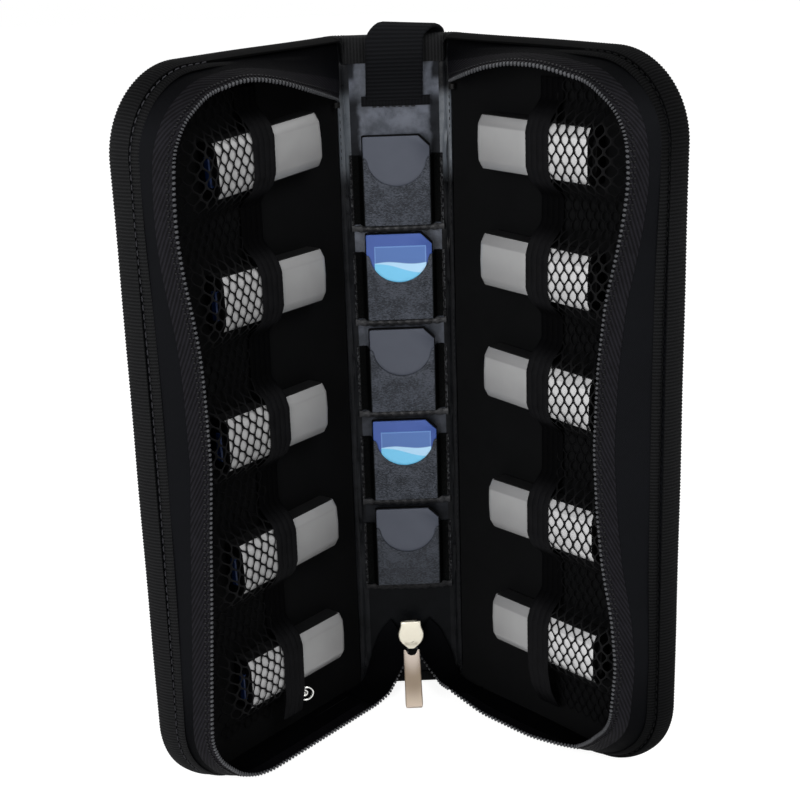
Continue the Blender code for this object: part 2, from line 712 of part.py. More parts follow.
def make_net(side):
    """Net pocket from the elastic to the foot of the side wall."""
    net = Net(side)
    for column in range(NET_COLUMNS):
        for row in range(NET_ROWS):
            net.cell(column + 0.5, row + 0.5)
    for column in range(1, NET_COLUMNS):
        for row in range(1, NET_ROWS):
            net.cell(column, row)
    for column in range(1, NET_COLUMNS):
        net.hem((column - 0.5, 0), (column, 0.5), (column + 0.5, 0))
        net.hem((column - 0.5, NET_ROWS), (column, NET_ROWS - 0.5), (column + 0.5, NET_ROWS))
    for row in range(1, NET_ROWS):
        net.hem((0, row - 0.5), (0.5, row), (0, row + 0.5))
        net.hem((NET_COLUMNS, row - 0.5), (NET_COLUMNS - 0.5, row), (NET_COLUMNS, row + 0.5))
    net_corners(net)
    finish_node(f"net_pocket_{side}", net.mesh, BLACK, 0.7)


def net_corners(net):
    """Quarter diamonds at the four corners of the hem."""
    for column, step in ((0, 0.5), (NET_COLUMNS, -0.5)):
        for row, rise in ((0, 0.5), (NET_ROWS, -0.5)):
            corner, aside, above = (column, row), (column + step, row), (column, row + rise)
            for face in (1, -1):
                net.face((corner, aside, above), face)
            net.wall(corner, aside)
            net.wall(corner, above)


def bevelled(half, low, high, bevel_width, bevel_drop):
    """Cut across a drive or plug: flat back, bevelled long edges on the face."""
    return ((-half, low), (half, low), (half, high - bevel_drop),
            (half - bevel_width, high), (bevel_width - half, high),
            (-half, high - bevel_drop))


def drive_section(shrink):
    """Cut across the drive's body, drawn in by a little at its ends."""
    return bevelled(DRIVE_WIDTH / 2 - shrink, DRIVE_LOW + shrink, DRIVE_TOP - shrink,
                    DRIVE_BEVEL_WIDTH, DRIVE_BEVEL_DROP)


def plug_section(width, height):
    """Cut across the plug or its tongue, about the middle of the drive."""
    middle = (DRIVE_LOW + DRIVE_TOP) / 2
    return bevelled(width / 2, middle - height / 2, middle + height / 2,
                    PLUG_BEVEL, PLUG_BEVEL)


def drive_point(side, row, reach, rise, across):
    """Point of a drive, pushed out and tilted about its own middle."""
    middle, tilt = (DRIVE_INNER + DRIVE_OUTER) / 2, DRIVE_TILTS[side][row]
    along = reach - middle
    out = middle + DRIVE_LENGTH * DRIVE_OUT_SHARES[side][row]
    return on_wing(side, out + along * math.cos(tilt) - across * math.sin(tilt), rise,
                   DRIVE_ROWS[side][row] + along * math.sin(tilt) + across * math.cos(tilt))


def make_drive(side, row):
    """Drive with its plug end towards the rim."""
    outer = DRIVE_OUTER
    body = ((DRIVE_INNER, DRIVE_END_ROUND),
            (DRIVE_INNER + DRIVE_END_ROUND / 2, DRIVE_END_ROUND / 4),
            (DRIVE_INNER + DRIVE_END_ROUND * 1.5, 0.0),
            (outer - DRIVE_END_ROUND / 2, 0.0), (outer, DRIVE_END_ROUND / 2))
    stations = [(reach, drive_section(shrink)) for reach, shrink in body]
    plug = plug_section(PLUG_WIDTH, PLUG_HEIGHT)
    tongue = plug_section(TONGUE_WIDTH, TONGUE_HEIGHT)
    stations += [(outer, plug), (outer + PLUG_REACH, plug), (outer + PLUG_REACH, tongue),
                 (PLUG_END, tongue)]
    rings = [[drive_point(side, row, reach, rise, across) for across, rise in section]
             for reach, section in stations]
    node(f"usb_drive_{side}_{row + 1}", [rings], SILVER, 0.35, 0.4)


def wall_shares(side):
    """Shares of the rim that catch its corners and every bend of the pleat."""
    shares = set(rim_shares(WALL_RUN, ARC_STEPS)) | {row[0] for row in PLEAT_SHARES[side]}
    first = PLEAT_SHARES[side][EVEN_ROW][0]
    shares |= {first * at / EVEN_STEPS for at in range(EVEN_STEPS)}
    return sorted(shares)


def make_wall(side):
    """Pleated side wall, its ribbed strip, the zip tape and the teeth."""
    shares = wall_shares(side)
    half, zip_half = WALL_THICK / 2, ZIP_TAPE_THICK / 2
    tape_low = -(ZIP_TAPE_WIDTH + TOOTH_WIDTH + GAP)

    def wall(share):
        return wall_section(side, share, 0.0, tape_low - GAP, half, half)

    def zip_tape(share):
        return wall_section(side, share, tape_low, -(TOOTH_WIDTH + GAP), zip_half, zip_half)

    def strip(share):
        return wall_section(side, share, STRIP_OFFSET, STRIP_OFFSET + STRIP_WIDTH,
                            -half - 2 * GAP, half + 2 * GAP + TAPE_THICK)

    node(f"side_wall_{side}", [rim_band(side, WALL_RUN, shares, wall)], BLACK, 0.8)
    node(f"zip_tape_{side}", [rim_band(side, WALL_RUN, shares, zip_tape)], BLACK, 0.75)
    later = [share for share in shares if share >= PLEAT_SHARES[side][STRIP_ROW][0]]
    node(f"wall_strip_{side}", [rim_band(side, WALL_RUN, later, strip)], CHARCOAL, 0.85)
    make_teeth(side)


def make_teeth(side):
    """Row of zip teeth as one ribbed strip."""
    steps = 2 * TOOTH_COUNT
    rings = []
    for at in range(steps + 1):
        size = TOOTH_THICK / 2 if at % 2 else TOOTH_THICK / 4
        rings += rim_band(side, WALL_RUN, [at / steps], lambda share: wall_section(
            side, share, -TOOTH_WIDTH, 0.0, size, size))
    node(f"zip_teeth_{side}", [rings], TEETH_GREY, 0.45)


def make_edge_tape(side):
    """Woven tape folded over the rim of the cover."""
    back = HALF_PANEL + GAP
    section = ((0.0, TAPE_SIDE_RISE), (0.0, -back - TAPE_THICK),
               (TAPE_BACK_LIP, -back - TAPE_THICK), (TAPE_BACK_LIP, -back),
               (TAPE_THICK, -back), (TAPE_THICK, TAPE_SIDE_RISE))
    shares = rim_shares(TAPE_RUN, ARC_STEPS)
    rings = rim_band(side, TAPE_RUN, shares, lambda share: section)
    node(f"edge_tape_{side}", [rings], BLACK, 0.85)


def make_stop(side):
    """Metal stop that closes the upper end of the zip."""
    z = HEIGHT - ZIP_RISE * PLEAT_SHARES[side][0][1]
    low = WALL_FOOT - WALL_THICK / 2
    node(f"zip_stop_{side}",
         [wing_box(side, (WALL_START, WALL_START + STOP_LENGTH), (low, low + STOP_SIZE),
                   (z - GAP - STOP_SIZE, z - GAP))], CHAMPAGNE, 0.35, 0.6)


def make_eyelet():
    """Small metal ring beside the lowest drive of the left wing."""
    steps = 16
    low = LINING_FACE + GAP
    middle = TRIM_INNER["left"] - EYELET_ASIDE, DRIVE_ROWS["left"][-1] - EYELET_BELOW
    mesh = bmesh.new()
    rings = []
    for at in range(steps):
        angle = 2 * math.pi * at / steps
        rings.append([on_wing("left", middle[0] + radius * math.cos(angle), rise,
                              middle[1] + radius * math.sin(angle))
                      for radius, rise in ((EYELET_INNER, low), (EYELET_OUTER, low),
                                           (EYELET_OUTER, low + EYELET_HEIGHT),
                                           (EYELET_INNER, low + EYELET_HEIGHT))])
    add_solid(mesh, rings, closed=True)
    finish_node("lining_eyelet", mesh, SILVER, 0.25, 0.9)


def make_wing(side):
    """Everything that turns with one cover."""
    node(f"cover_{side}",
         [wing_slab(side, wing_outline(PANEL_SETBACK, RIM, ARC_STEPS), -HALF_PANEL, HALF_PANEL)],
         BLACK, 0.8)
    inner = wing_outline(PANEL_SETBACK + LINING_SETBACK, RIM, ARC_STEPS)
    node(f"lining_{side}",
         [wing_slab(side, inner, HALF_PANEL + GAP, LINING_FACE)], CHARCOAL, 0.7)
    make_edge_tape(side)
    make_wall(side)
    make_stop(side)
    make_trim(side)
    make_net(side)
    for row in range(len(DRIVE_ROWS[side])):
        make_drive(side, row)


def build():
    """The whole wallet with its drives and cards."""
    make_spine()
    make_cards()
    make_loop()
    make_slider()
    make_pull()
    make_zip_tails()
    for side in SIDES:
        make_wing(side)
    make_eyelet()


build()
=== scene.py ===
"""Looks of the zip-around drive wallet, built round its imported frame.

Lengths are millimetres in the wallet's own frame and turn into metres in Shape.finish.
"""
import math

import bmesh
import bpy
import numpy as np
from mathutils import Matrix, Vector


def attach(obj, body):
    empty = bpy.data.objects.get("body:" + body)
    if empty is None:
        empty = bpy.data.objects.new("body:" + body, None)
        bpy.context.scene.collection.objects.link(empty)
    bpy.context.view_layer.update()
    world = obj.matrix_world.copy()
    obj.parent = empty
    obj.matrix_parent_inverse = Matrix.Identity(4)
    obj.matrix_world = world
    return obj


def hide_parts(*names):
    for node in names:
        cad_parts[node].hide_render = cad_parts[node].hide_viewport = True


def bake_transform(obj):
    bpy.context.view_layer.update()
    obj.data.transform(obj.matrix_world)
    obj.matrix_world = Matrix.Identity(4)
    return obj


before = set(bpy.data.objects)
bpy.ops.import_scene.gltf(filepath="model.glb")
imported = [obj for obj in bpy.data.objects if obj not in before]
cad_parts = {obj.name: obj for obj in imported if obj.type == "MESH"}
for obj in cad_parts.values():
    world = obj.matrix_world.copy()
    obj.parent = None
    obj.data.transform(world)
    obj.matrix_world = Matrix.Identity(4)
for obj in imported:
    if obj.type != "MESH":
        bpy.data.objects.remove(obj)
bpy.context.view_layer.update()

MM = 0.001
TURN = 2 * math.pi
SIDES = {"left": -1, "right": 1}

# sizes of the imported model
HEIGHT, HINGE, REACH, CORNER = 256.5, 20.25, 107.0, 29.0
OPEN = math.radians(49.5)
COS, SIN = math.cos(OPEN), math.sin(OPEN)
LINING_FACE = 2.7
WALL_FOOT, WALL_INSET = 3.6, 1.7
WALL_RUN, TAPE_RUN = (4.2, 13.2), (4.2, 4.2)
ZIP_RISE, TOOTH_LONG, ZIP_TAPE = 19.3, 1.9, 5.4
# lean and rise of the pleated wall in shares of ZIP_RISE, at shares of its run
PLEAT_RUN = (0.000, 0.019, 0.044, 0.070, 0.100, 0.130, 0.150, 0.170, 0.210, 0.250, 0.300, 0.330, 0.360,
             0.395, 0.420, 0.450, 0.518, 0.574, 0.615, 0.658, 0.700, 0.742, 0.800, 0.830, 0.860, 0.900,
             0.960, 1.000)
PLEAT_LEAN = {
    "left": (1.147, 1.054, 0.903, 0.743, 0.532, 0.384, 0.369, 0.453, 0.541, 0.494, 0.378, 0.374, 0.454,
             0.600, 0.691, 0.739, 0.765, 0.642, 0.574, 0.490, 0.402, 0.320, 0.350, 0.245, 0.085, 0.083,
             0.080, 0.078),
    "right": (0.873, 0.791, 0.633, 0.454, 0.320, 0.307, 0.365, 0.450, 0.546, 0.487, 0.392, 0.487, 0.638,
              0.850, 0.925, 1.011, 1.082, 0.992, 0.870, 0.640, 0.530, 0.627, 0.705, 0.597, 0.368, 0.197,
              0.171, 0.344)}
PLEAT_RISE = {"left": (0.202, 0.466, 0.699, 0.896, 0.974, 1.000),
              "right": (0.202, 0.570, 0.829, 0.948, 0.990, 1.000)}
DRIVE_INNER, DRIVE_OUTER, DRIVE_HALF = 23.5, 74.7, 9.5
DRIVE_LOW, DRIVE_TOP = 3.0, 11.0
DRIVE_LONG = DRIVE_OUTER - DRIVE_INNER
DRIVE_MIDDLE = (DRIVE_INNER + DRIVE_OUTER) / 2
DRIVE_ROWS = {"left": HEIGHT * np.array((0.8661, 0.6848, 0.4920, 0.3088, 0.1275)),
              "right": HEIGHT * np.array((0.8637, 0.6990, 0.5349, 0.3411, 0.1587))}
DRIVE_OUT = {"left": DRIVE_LONG * np.array((-0.036, -0.017, 0.029, -0.028, -0.035)),
             "right": DRIVE_LONG * np.array((0.024, 0.034, 0.052, 0.086, 0.108))}
DRIVE_TILT = {"left": np.radians((-3.7, 0.0, 0.0, -1.5, 0.0)),
              "right": np.radians((0.0, -1.0, -2.1, 1.0, 0.0))}
TRIM_INNER = {"left": DRIVE_INNER + DRIVE_LONG * 0.4375, "right": DRIVE_INNER + DRIVE_LONG * 0.484}
TRIM_WIDTH = 10.3
CARD_HALF, CARD_HEIGHT, CARD_THICK, CARD_CUT = 12.0, 32.0, 2.1, 4.0
CARD_BASES = [HEIGHT * share for share in (0.7400, 0.6008, 0.4600, 0.3197, 0.1793)]
CARD_LEAN = math.asin(3.8 / (HEIGHT * (0.7400 - 0.6008)))
POCKET_HALF, POCKET_TOP, NOTCH = 13.2, 24.5, 10.8
SPINE_HALF, SKIN_HALF, STRIP_HALF = HINGE - 2.4, 17.2, 16.9
CARD_BACK, SLIDER_Z, PIN_OUT, PIN_Z = 3.0, 24.0, 10.86, 19.4
LOOP_HALF, LOOP_THICK, LOOP_SKEW = 10.2, 1.4, 8.6
PULL_FORWARD, PULL_LONG = math.radians(54.0), 25.4


# ---------------------------------------------------------------- placing

def xyz(*parts):
    """Points from three coordinates on grids that spread over each other."""
    return np.stack(np.broadcast_arrays(*parts), -1)


def circle(count):
    """Cosines and sines of even steps round a circle."""
    around = np.arange(count) * TURN / count
    return np.stack((np.cos(around), np.sin(around)), -1)


def smoothed(values, width):
    """Row of values averaged over a window of an odd width, its ends kept in place."""
    kernel = np.hanning(width) / np.hanning(width).sum()
    padded = np.pad(values, width // 2, mode="reflect", reflect_type="odd")
    return np.convolve(padded, kernel, mode="valid")


def along_line(at, run, line):
    """Places at running lengths of a line."""
    return np.stack([np.interp(at, run, column) for column in line.T], -1)


def on_wing(side, t, h, z):
    """Points of a wing: t out from the hinge, h above mid-panel, z up."""
    return xyz(SIDES[side] * (HINGE + t * COS - h * SIN), -t * SIN - h * COS, z)


def rim(run, s):
    """Places at arc lengths s round a wing's rim and the direction out of it."""
    s = np.asarray(s, float)
    turn, arc, side = REACH - CORNER, CORNER * math.pi / 2, HEIGHT - 2 * CORNER
    ends = np.cumsum((turn - run[0], arc, side, arc))
    angle = math.pi / 2 * (1 - np.clip((s - ends[0]) / arc, 0, 1)
                           - np.clip((s - ends[2]) / arc, 0, 1))
    middle = run[0] + np.minimum(s, ends[0]) - np.maximum(s - ends[3], 0)
    height = HEIGHT - CORNER - np.clip(s - ends[1], 0, side)
    out = np.cos(angle), np.sin(angle)
    return middle + CORNER * out[0], height + CORNER * out[1], out[0], out[1]


def rim_total(run):
    """Length of a rim run."""
    return (2 * (REACH - CORNER) - sum(run)) + CORNER * math.pi + HEIGHT - 2 * CORNER


def rim_points(side, run, s, inset, rise):
    """Points at an inset from the rim and a rise above mid-panel."""
    t, z, out_t, out_z = rim(run, s)
    return on_wing(side, t - out_t * inset, rise, z - out_z * inset)


PLEAT_AT = np.linspace(0, 1, 800)


def smooth_pleats(shares):
    """Heights of a row of pleat shares along the wall, rounded at its corners."""
    values = np.interp(PLEAT_AT, PLEAT_RUN[:len(shares)], shares) * ZIP_RISE
    return smoothed(values, 31)


PLEATS = {side: [smooth_pleats(shares[side]) for shares in (PLEAT_LEAN, PLEAT_RISE)]
          for side in SIDES}
WALL_TOTAL = rim_total(WALL_RUN)
WALL_BOW = 0.7


def wall_frame(side, s):
    """Length of the wall across and its direction, at arc lengths s."""
    share = np.asarray(s, float) / WALL_TOTAL
    lean, rise = (np.interp(share, PLEAT_AT, row) - foot
                  for row, foot in zip(PLEATS[side], (WALL_INSET, WALL_FOOT)))
    across = np.hypot(lean, rise)
    return across, lean / across, rise / across


def wall_points(side, s, width, out):
    """Points of the leaning wall: width up from its foot, out from its middle."""
    across, lean, rise = wall_frame(side, s)
    out = out + WALL_BOW * np.sin(np.clip(width / across, 0, 1) * math.pi)
    inset = WALL_INSET + lean * width - rise * out
    return rim_points(side, WALL_RUN, s, inset, WALL_FOOT + rise * width + lean * out)


BEND_SPAN = 3.0
BEND_AT = np.linspace(-BEND_SPAN, BEND_SPAN, 121)


def bend_table():
    """Middle line and turn of the fold from the spine to a wing."""
    share = (BEND_AT + BEND_SPAN) / (2 * BEND_SPAN)
    turn = OPEN * share * share * (3 - 2 * share)
    step = BEND_AT[1] - BEND_AT[0]
    x = HINGE - BEND_SPAN + np.concatenate(([0], np.cumsum(np.cos(turn[1:]) * step)))
    y = -np.concatenate(([0], np.cumsum(np.sin(turn[1:]) * step)))
    x += (HINGE + BEND_SPAN * COS - x[-1]) * share
    y += (-BEND_SPAN * SIN - y[-1]) * share
    return x, y, turn


BEND_X, BEND_Y, BEND_TURN = bend_table()


def on_bend(side, q, h, z):
    """Points across the fold: q below zero lies on the spine, above it on the wing."""
    turn, x, y = (np.interp(q, BEND_AT, row) for row in (BEND_TURN, BEND_X, BEND_Y))
    past, before = np.maximum(q - BEND_SPAN, 0), np.minimum(q + BEND_SPAN, 0)
    return xyz(SIDES[side] * (x + past * COS + before - h * np.sin(turn)),
               y - past * SIN - h * np.cos(turn), z)


def ripple(a, b, seed, waves=5):
    """Smooth wavy field between about -1 and 1 over two coordinates."""
    draw = np.random.RandomState(seed)
    total = 0.0
    for _ in range(waves):
        way, phase, rate = draw.uniform(0, TURN), draw.uniform(0, TURN), draw.uniform(0.6, 1.7)
        total = total + np.sin(rate * (a * math.cos(way) + b * math.sin(way)) + phase)
    return total / math.sqrt(waves)


def rise_share(value):
    """Smooth step from 0 to 1."""
    value = np.clip(value, 0, 1)
    return value * value * (3 - 2 * value)


# ---------------------------------------------------------------- meshes

RIB, RIB_STEPS, RIB_DEPTH = 1.17, 4, 0.14
STITCH_SIZE, STITCH_SINK = (0.35, 1.0, 1.0, 0.35), (-0.9, 0.15, 0.15, -0.9)
OUTWARD = (0.0, -1.0, 0.0)


def lengths(rows, axis):
    """Running length in millimetres along an axis of a grid of points."""
    steps = np.linalg.norm(np.diff(rows, axis=axis), axis=-1)
    return np.insert(np.cumsum(steps, axis=axis), 0, 0.0, axis=axis)


def closed(face, back):
    """Rings that run along a face and return along its back."""
    return np.concatenate((face, back[:, ::-1]), axis=1)


def slab(rows, thick):
    """Closed rings of a sheet: its face, then the same face set back along its normals."""
    normal = np.cross(np.gradient(rows, axis=0), np.gradient(rows, axis=1))
    normal /= np.maximum(np.linalg.norm(normal, axis=-1, keepdims=True), 1e-9)
    return closed(rows, rows + normal * thick)


class Shape:
    """Closed shells gathered into one piece, with lengths along the cloth as its map."""

    def __init__(self):
        self.points, self.faces, self.maps, self.count = [], [], [], 0

    def rings(self, rows, capped=True, looped=False, ribs=False):
        """Shell over closed rings of points; looped joins the last ring to the first.

        With ribs, the map's length counts whole ribs of the tape, RIB_STEPS rings to each.
        """
        rows = np.asarray(rows, float)
        count, wide = rows.shape[:2]
        shown = np.concatenate((rows, rows[:, :1]), axis=1)
        if looped:
            shown = np.concatenate((shown, shown[:1]), axis=0)
        along = np.arange(len(shown)) * RIB / RIB_STEPS if ribs else lengths(shown, 0).mean(axis=1)
        across = lengths(shown, 1).mean(axis=0)
        i, j = np.meshgrid(np.arange(len(shown) - 1), np.arange(wide), indexing="ij")
        corners = [(i, j), (i, j + 1), (i + 1, j + 1), (i + 1, j)]
        index = np.stack([self.count + (a % count) * wide + b % wide for a, b in corners], -1)
        places = np.stack([np.stack((along[a], across[b]), -1) for a, b in corners], -2)
        self.faces += index.reshape(-1, 4).tolist()
        self.maps.append(places.reshape(-1, 2))
        if capped and not looped:
            self.cap(self.count, wide, across)
            self.cap(self.count + (count - 1) * wide, wide, across)
        self.points.append(rows.reshape(-1, 3))
        self.count += count * wide
        return self

    def cap(self, start, wide, across):
        """Flat end of a shell, closed between its two halves."""
        half = wide // 2
        for at in range(half - 1):
            ring = (at, at + 1, wide - 2 - at, wide - 1 - at)
            self.faces.append([start + v for v in ring])
            self.maps.append(np.array([(across[v], 0.0) for v in ring]))

    def sheet(self, rows, thick):
        """Thin sheet with the given face."""
        return self.rings(slab(rows, thick))

    def finish(self, name, look, node=None, sharp=40):
        """The piece as an object, in metres, standing for a CAD node if one is given."""
        mesh = bpy.data.meshes.new(name)
        mesh.from_pydata((np.concatenate(self.points) * MM).tolist(), [], self.faces)
        cloth = mesh.uv_layers.new(name="cloth")
        cloth.data.foreach_set("uv", np.concatenate(self.maps).astype(np.float32).ravel())
        mesh.shade_smooth()
        turn_out(mesh)
        mesh.set_sharp_from_angle(angle=math.radians(sharp))
        mesh.materials.append(LOOKS[look])
        made = bpy.data.objects.new(name, mesh)
        bpy.context.scene.collection.objects.link(made)
        if node:
            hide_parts(node)
        return made

    def ride(self, body, name, look, slot, node=None, sharp=40):
        """The piece, carried by one body."""
        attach(self.finish(name, look, node, sharp), body)

    def on_side(self, side, name, look, slot, node=None, sharp=40):
        """The piece on one wing: its name and its node's name end in the side."""
        self.ride(f"wing_{side}", f"{name}_{side}", look, slot, node and f"{node}_{side}", sharp)

    def fold(self, side, name, look, slot, node=None, sharp=40, spread=BEND_SPAN):
        """The piece that lies across the fold between the spine and a wing, named as on_side names it,
        its place baked into its mesh.
        """
        piece = self.finish(f"{name}_{side}", look, node and f"{node}_{side}", sharp)
        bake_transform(piece)


def turn_out(mesh):
    """Turns every face of a mesh outward."""
    work = bmesh.new()
    work.from_mesh(mesh)
    bmesh.ops.recalc_face_normals(work, faces=work.faces[:])
    work.to_mesh(mesh)
    work.free()


def stitches(shape, path, lift, pitch=2.8, long=1.9, radius=0.19):
    """Row of single stitches along a path of points; lift points out of the cloth."""
    lift = np.broadcast_to(np.asarray(lift, float), path.shape)
    run, ring = lengths(path, 0), circle(5)
    for start in np.arange(pitch / 2, run[-1] - long, pitch):
        at = start + np.array((0.0, 0.15, 0.85, 1.0)) * long
        middle, up = along_line(at, run, path), along_line(at, run, lift)
        way = middle[-1] - middle[0]
        way /= np.linalg.norm(way)
        aside = np.cross(way, up[0])
        shape.rings([m + u * sink * radius + (aside * ring[:, :1] + u * ring[:, 1:]) * size * radius
                     for m, u, size, sink in zip(middle, up, STITCH_SIZE, STITCH_SINK)], capped=False)


# ---------------------------------------------------------------- materials

SHINE = "Specular IOR Level"


def dimmed(colour, share):
    """Colour at a share of its light."""
    return tuple(value * share for value in colour)


class Look:
    """Principled material with a few node helpers."""

    def __init__(self, name, colour, roughness, shine=0.5, metallic=0.0):
        self.made = bpy.data.materials.new(name)
        self.made.use_nodes = True
        self.tree = self.made.node_tree
        self.shader = self.tree.nodes["Principled BSDF"]
        self.put("Base Color", (*colour, 1.0))
        self.put("Roughness", roughness)
        self.put("Metallic", metallic)
        self.put(SHINE, shine)
        self.heights = []

    def put(self, socket, value):
        """Sets a socket of the shader."""
        self.shader.inputs[socket].default_value = value

    def node(self, kind, **values):
        """New node with its properties or its inputs set."""
        made = self.tree.nodes.new(kind)
        for key, value in values.items():
            if hasattr(made, key):
                setattr(made, key, value)
            else:
                self.join(value, made.inputs[key.replace("_", " ")])
        return made

    def join(self, value, socket):
        """Links a socket or sets a value."""
        if isinstance(value, bpy.types.NodeSocket):
            self.tree.links.new(value, socket)
        else:
            socket.default_value = value

    def sum(self, operation, one, two=0.0, three=0.0):
        """Result of a Math node."""
        made = self.tree.nodes.new("ShaderNodeMath")
        made.operation = operation
        for value, socket in zip((one, two, three), made.inputs):
            self.join(value, socket)
        return made.outputs[0]

    def times(self, one, two):
        """Product of two values."""
        return self.sum("MULTIPLY", one, two)

    def scaled(self, value, slope, start):
        """A value times a slope, added to a start."""
        return self.sum("MULTIPLY_ADD", value, slope, start)

    def cloth_map(self):
        """Lengths along and across the cloth, in millimetres."""
        place = self.node("ShaderNodeUVMap", uv_map="cloth")
        parts = self.node("ShaderNodeSeparateXYZ", Vector=place.outputs["UV"])
        return parts.outputs["X"], parts.outputs["Y"]

    def wave(self, along, across, pitch_along, pitch_across):
        """Sine wave over the cloth; a pitch of None leaves that way out."""
        total = None
        for value, pitch in ((along, pitch_along), (across, pitch_across)):
            if pitch is not None:
                part = self.times(value, TURN / pitch)
                total = part if total is None else self.sum("ADD", total, part)
        return self.sum("SINE", total)

    def place(self):
        """Place in the wallet's frame, in metres."""
        return self.node("ShaderNodeTexCoord").outputs["Object"]

    def noise(self, size, detail=3.0, rough=0.55, place=None):
        """Noise whose lumps are about size millimetres across."""
        made = self.node("ShaderNodeTexNoise", Vector=place or self.place(),
                         Scale=1.0 / (size * MM), Detail=detail, Roughness=rough)
        return made.outputs["Fac"]

    def cells(self, size):
        """Small pebbles of coated leather."""
        made = self.node("ShaderNodeTexVoronoi", Vector=self.place(),
                         Scale=1.0 / (size * MM), feature="SMOOTH_F1")
        return made.outputs["Distance"]

    def axis(self, axis):
        """Place along an axis of the wallet's frame, in millimetres."""
        parts = self.node("ShaderNodeSeparateXYZ", Vector=self.place())
        return self.sum("DIVIDE", parts.outputs[axis], MM)

    def aside(self):
        """Distance from the wallet's middle plane, in millimetres."""
        return self.sum("ABSOLUTE", self.axis("X"))

    def ramp(self, value, start, end):
        """0 at the start, 1 at the end, smooth between."""
        made = self.node("ShaderNodeMapRange", interpolation_type="SMOOTHSTEP", Value=value)
        made.inputs["From Min"].default_value = start
        made.inputs["From Max"].default_value = end
        return made.outputs[0]

    def mixed(self, share, low, high):
        """Colour between two colours or colour sockets."""
        ramp = self.node("ShaderNodeMix", data_type="RGBA")
        self.join(share, ramp.inputs[0])
        for value, at in ((low, 6), (high, 7)):
            self.join((*value, 1.0) if isinstance(value, tuple) else value, ramp.inputs[at])
        return ramp.outputs[2]

    def colour(self, share, low, high):
        """Base colour that moves between two colours."""
        self.tree.links.new(self.mixed(share, low, high), self.shader.inputs["Base Color"])
        return self

    def shine(self, share, low, high):
        """Strength of the clear reflection between two values."""
        self.join(self.scaled(share, high - low, low), self.shader.inputs[SHINE])
        return self

    def rough(self, share, low, high):
        """Roughness that moves between two values."""
        made = self.node("ShaderNodeMapRange", Value=share)
        made.inputs["To Min"].default_value = low
        made.inputs["To Max"].default_value = high
        self.tree.links.new(made.outputs[0], self.shader.inputs["Roughness"])
        return self

    def zone(self, *spans):
        """Painted shade by height: the share of colour kept, falling towards the first height of each
        span.
        """
        level = self.ramp(self.axis("Z"), *spans[0])
        for span in spans[1:]:
            level = self.times(level, self.ramp(self.axis("Z"), *span))
        return level

    def zoned(self, level, share, low, high, dim, shine):
        """Colour and shine that fall to a share where the level is low, as painted shade."""
        faint = self.mixed(share, dimmed(low, dim), dimmed(high, dim))
        return self.colour(level, faint, self.mixed(share, low, high)).shine(level, shine * dim, shine)

    def relief(self, height, depth):
        """Adds a height in millimetres of depth to the surface's relief."""
        self.heights.append(self.times(height, depth))
        return self

    def done(self):
        """Connects the relief and returns the material."""
        if self.heights:
            total = self.heights[0]
            for part in self.heights[1:]:
                total = self.sum("ADD", total, part)
            bump = self.node("ShaderNodeBump", Height=total, Strength=1.0, Distance=MM)
            self.tree.links.new(bump.outputs["Normal"], self.shader.inputs["Normal"])
        return self.made


# heights over which the painted shade at the foot and at the top fades out
FOOT_SHADE_ZONE, TOP_SHADE_ZONE = (4.0, 60.0), (254.0, 234.0)


def nylon(name, low, high, roughness, weave, shine=0.09, dim=None):
    """Close plain weave with a little wear; dim is the share of colour and shine kept at the foot and
    the top, where shade is painted.
    """
    look = Look(name, low, roughness)
    along, across = look.cloth_map()
    threads = look.times(look.wave(along, across, weave, None),
                       look.wave(along, across, None, weave))
    worn = look.noise(9.0, 5.0)
    share = look.scaled(threads, 0.22, look.scaled(worn, 1.1, -0.1))
    if dim is None:
        look.colour(share, low, high).put(SHINE, shine)
    else:
        # painted shade: darker at the foot and the top
        look.zoned(look.zone(FOOT_SHADE_ZONE, TOP_SHADE_ZONE), share, low, high, dim, shine)
    look.relief(threads, 0.035).relief(look.noise(1.6), 0.05)
    return look.rough(worn, roughness - 0.08, roughness + 0.1).done()


def ribbed(name, low, high, roughness, shine, *zones):
    """Ribbed woven tape: fine threads over ribs that are modelled, with shade painted into their
    grooves and outside its height zones.
    """
    look = Look(name, low, roughness)
    along, across = look.cloth_map()
    threads = look.wave(along, across, None, 0.42)
    ridge = look.wave(look.sum("ADD", along, RIB / 4), across, RIB, None)
    worn = look.noise(4.0, 4.0)
    # colour darker in the grooves between the ribs, painted shade, over a worn tone
    share = look.scaled(ridge, 0.65, look.scaled(worn, 0.8, -0.05))
    look.zoned(look.zone(*zones), share, low, high, 0.42, shine)
    look.relief(threads, 0.03).relief(look.noise(0.7), 0.05)
    return look.rough(worn, roughness - 0.06, roughness + 0.1).done()


def draped(name, low, high, roughness, shine):
    """Dark yarn with shade painted where it is drawn down to the lining."""
    look = Look(name, low, roughness)
    height = look.scaled(look.axis("Y"), -COS, look.scaled(look.aside(), -SIN, HINGE * SIN))
    along, across = look.cloth_map()
    # 1 on the crowns over the drives; lower down, colour and shine fall as painted shade
    raised = look.ramp(height, 4.5, 11.0)
    worn = look.scaled(look.wave(along, across, None, 0.42), 0.15, look.noise(4.0, 4.0))
    # the colour of the painted shade
    dark = dimmed(low, 0.35)
    look.colour(raised, look.mixed(worn, dark, low), look.mixed(worn, low, high))
    look.shine(raised, shine * 0.4, shine).relief(look.noise(0.7), 0.06)
    return look.rough(worn, roughness - 0.06, roughness + 0.1).done()


def twill(name, low, high, roughness, along_pitch, across_pitch):
    """Steep diagonal twill."""
    look = Look(name, low, roughness)
    along, across = look.cloth_map()
    lines = look.wave(along, across, along_pitch, across_pitch)
    threads = look.wave(along, across, 0.36, None)
    share = look.scaled(lines, 0.5, look.noise(3.0))
    # darker at the top and the foot: painted shade
    look.zoned(look.zone(TOP_SHADE_ZONE, (2.0, 25.0)), share, low, high, 0.4, 0.06)
    return look.relief(lines, 0.06).relief(threads, 0.02).done()


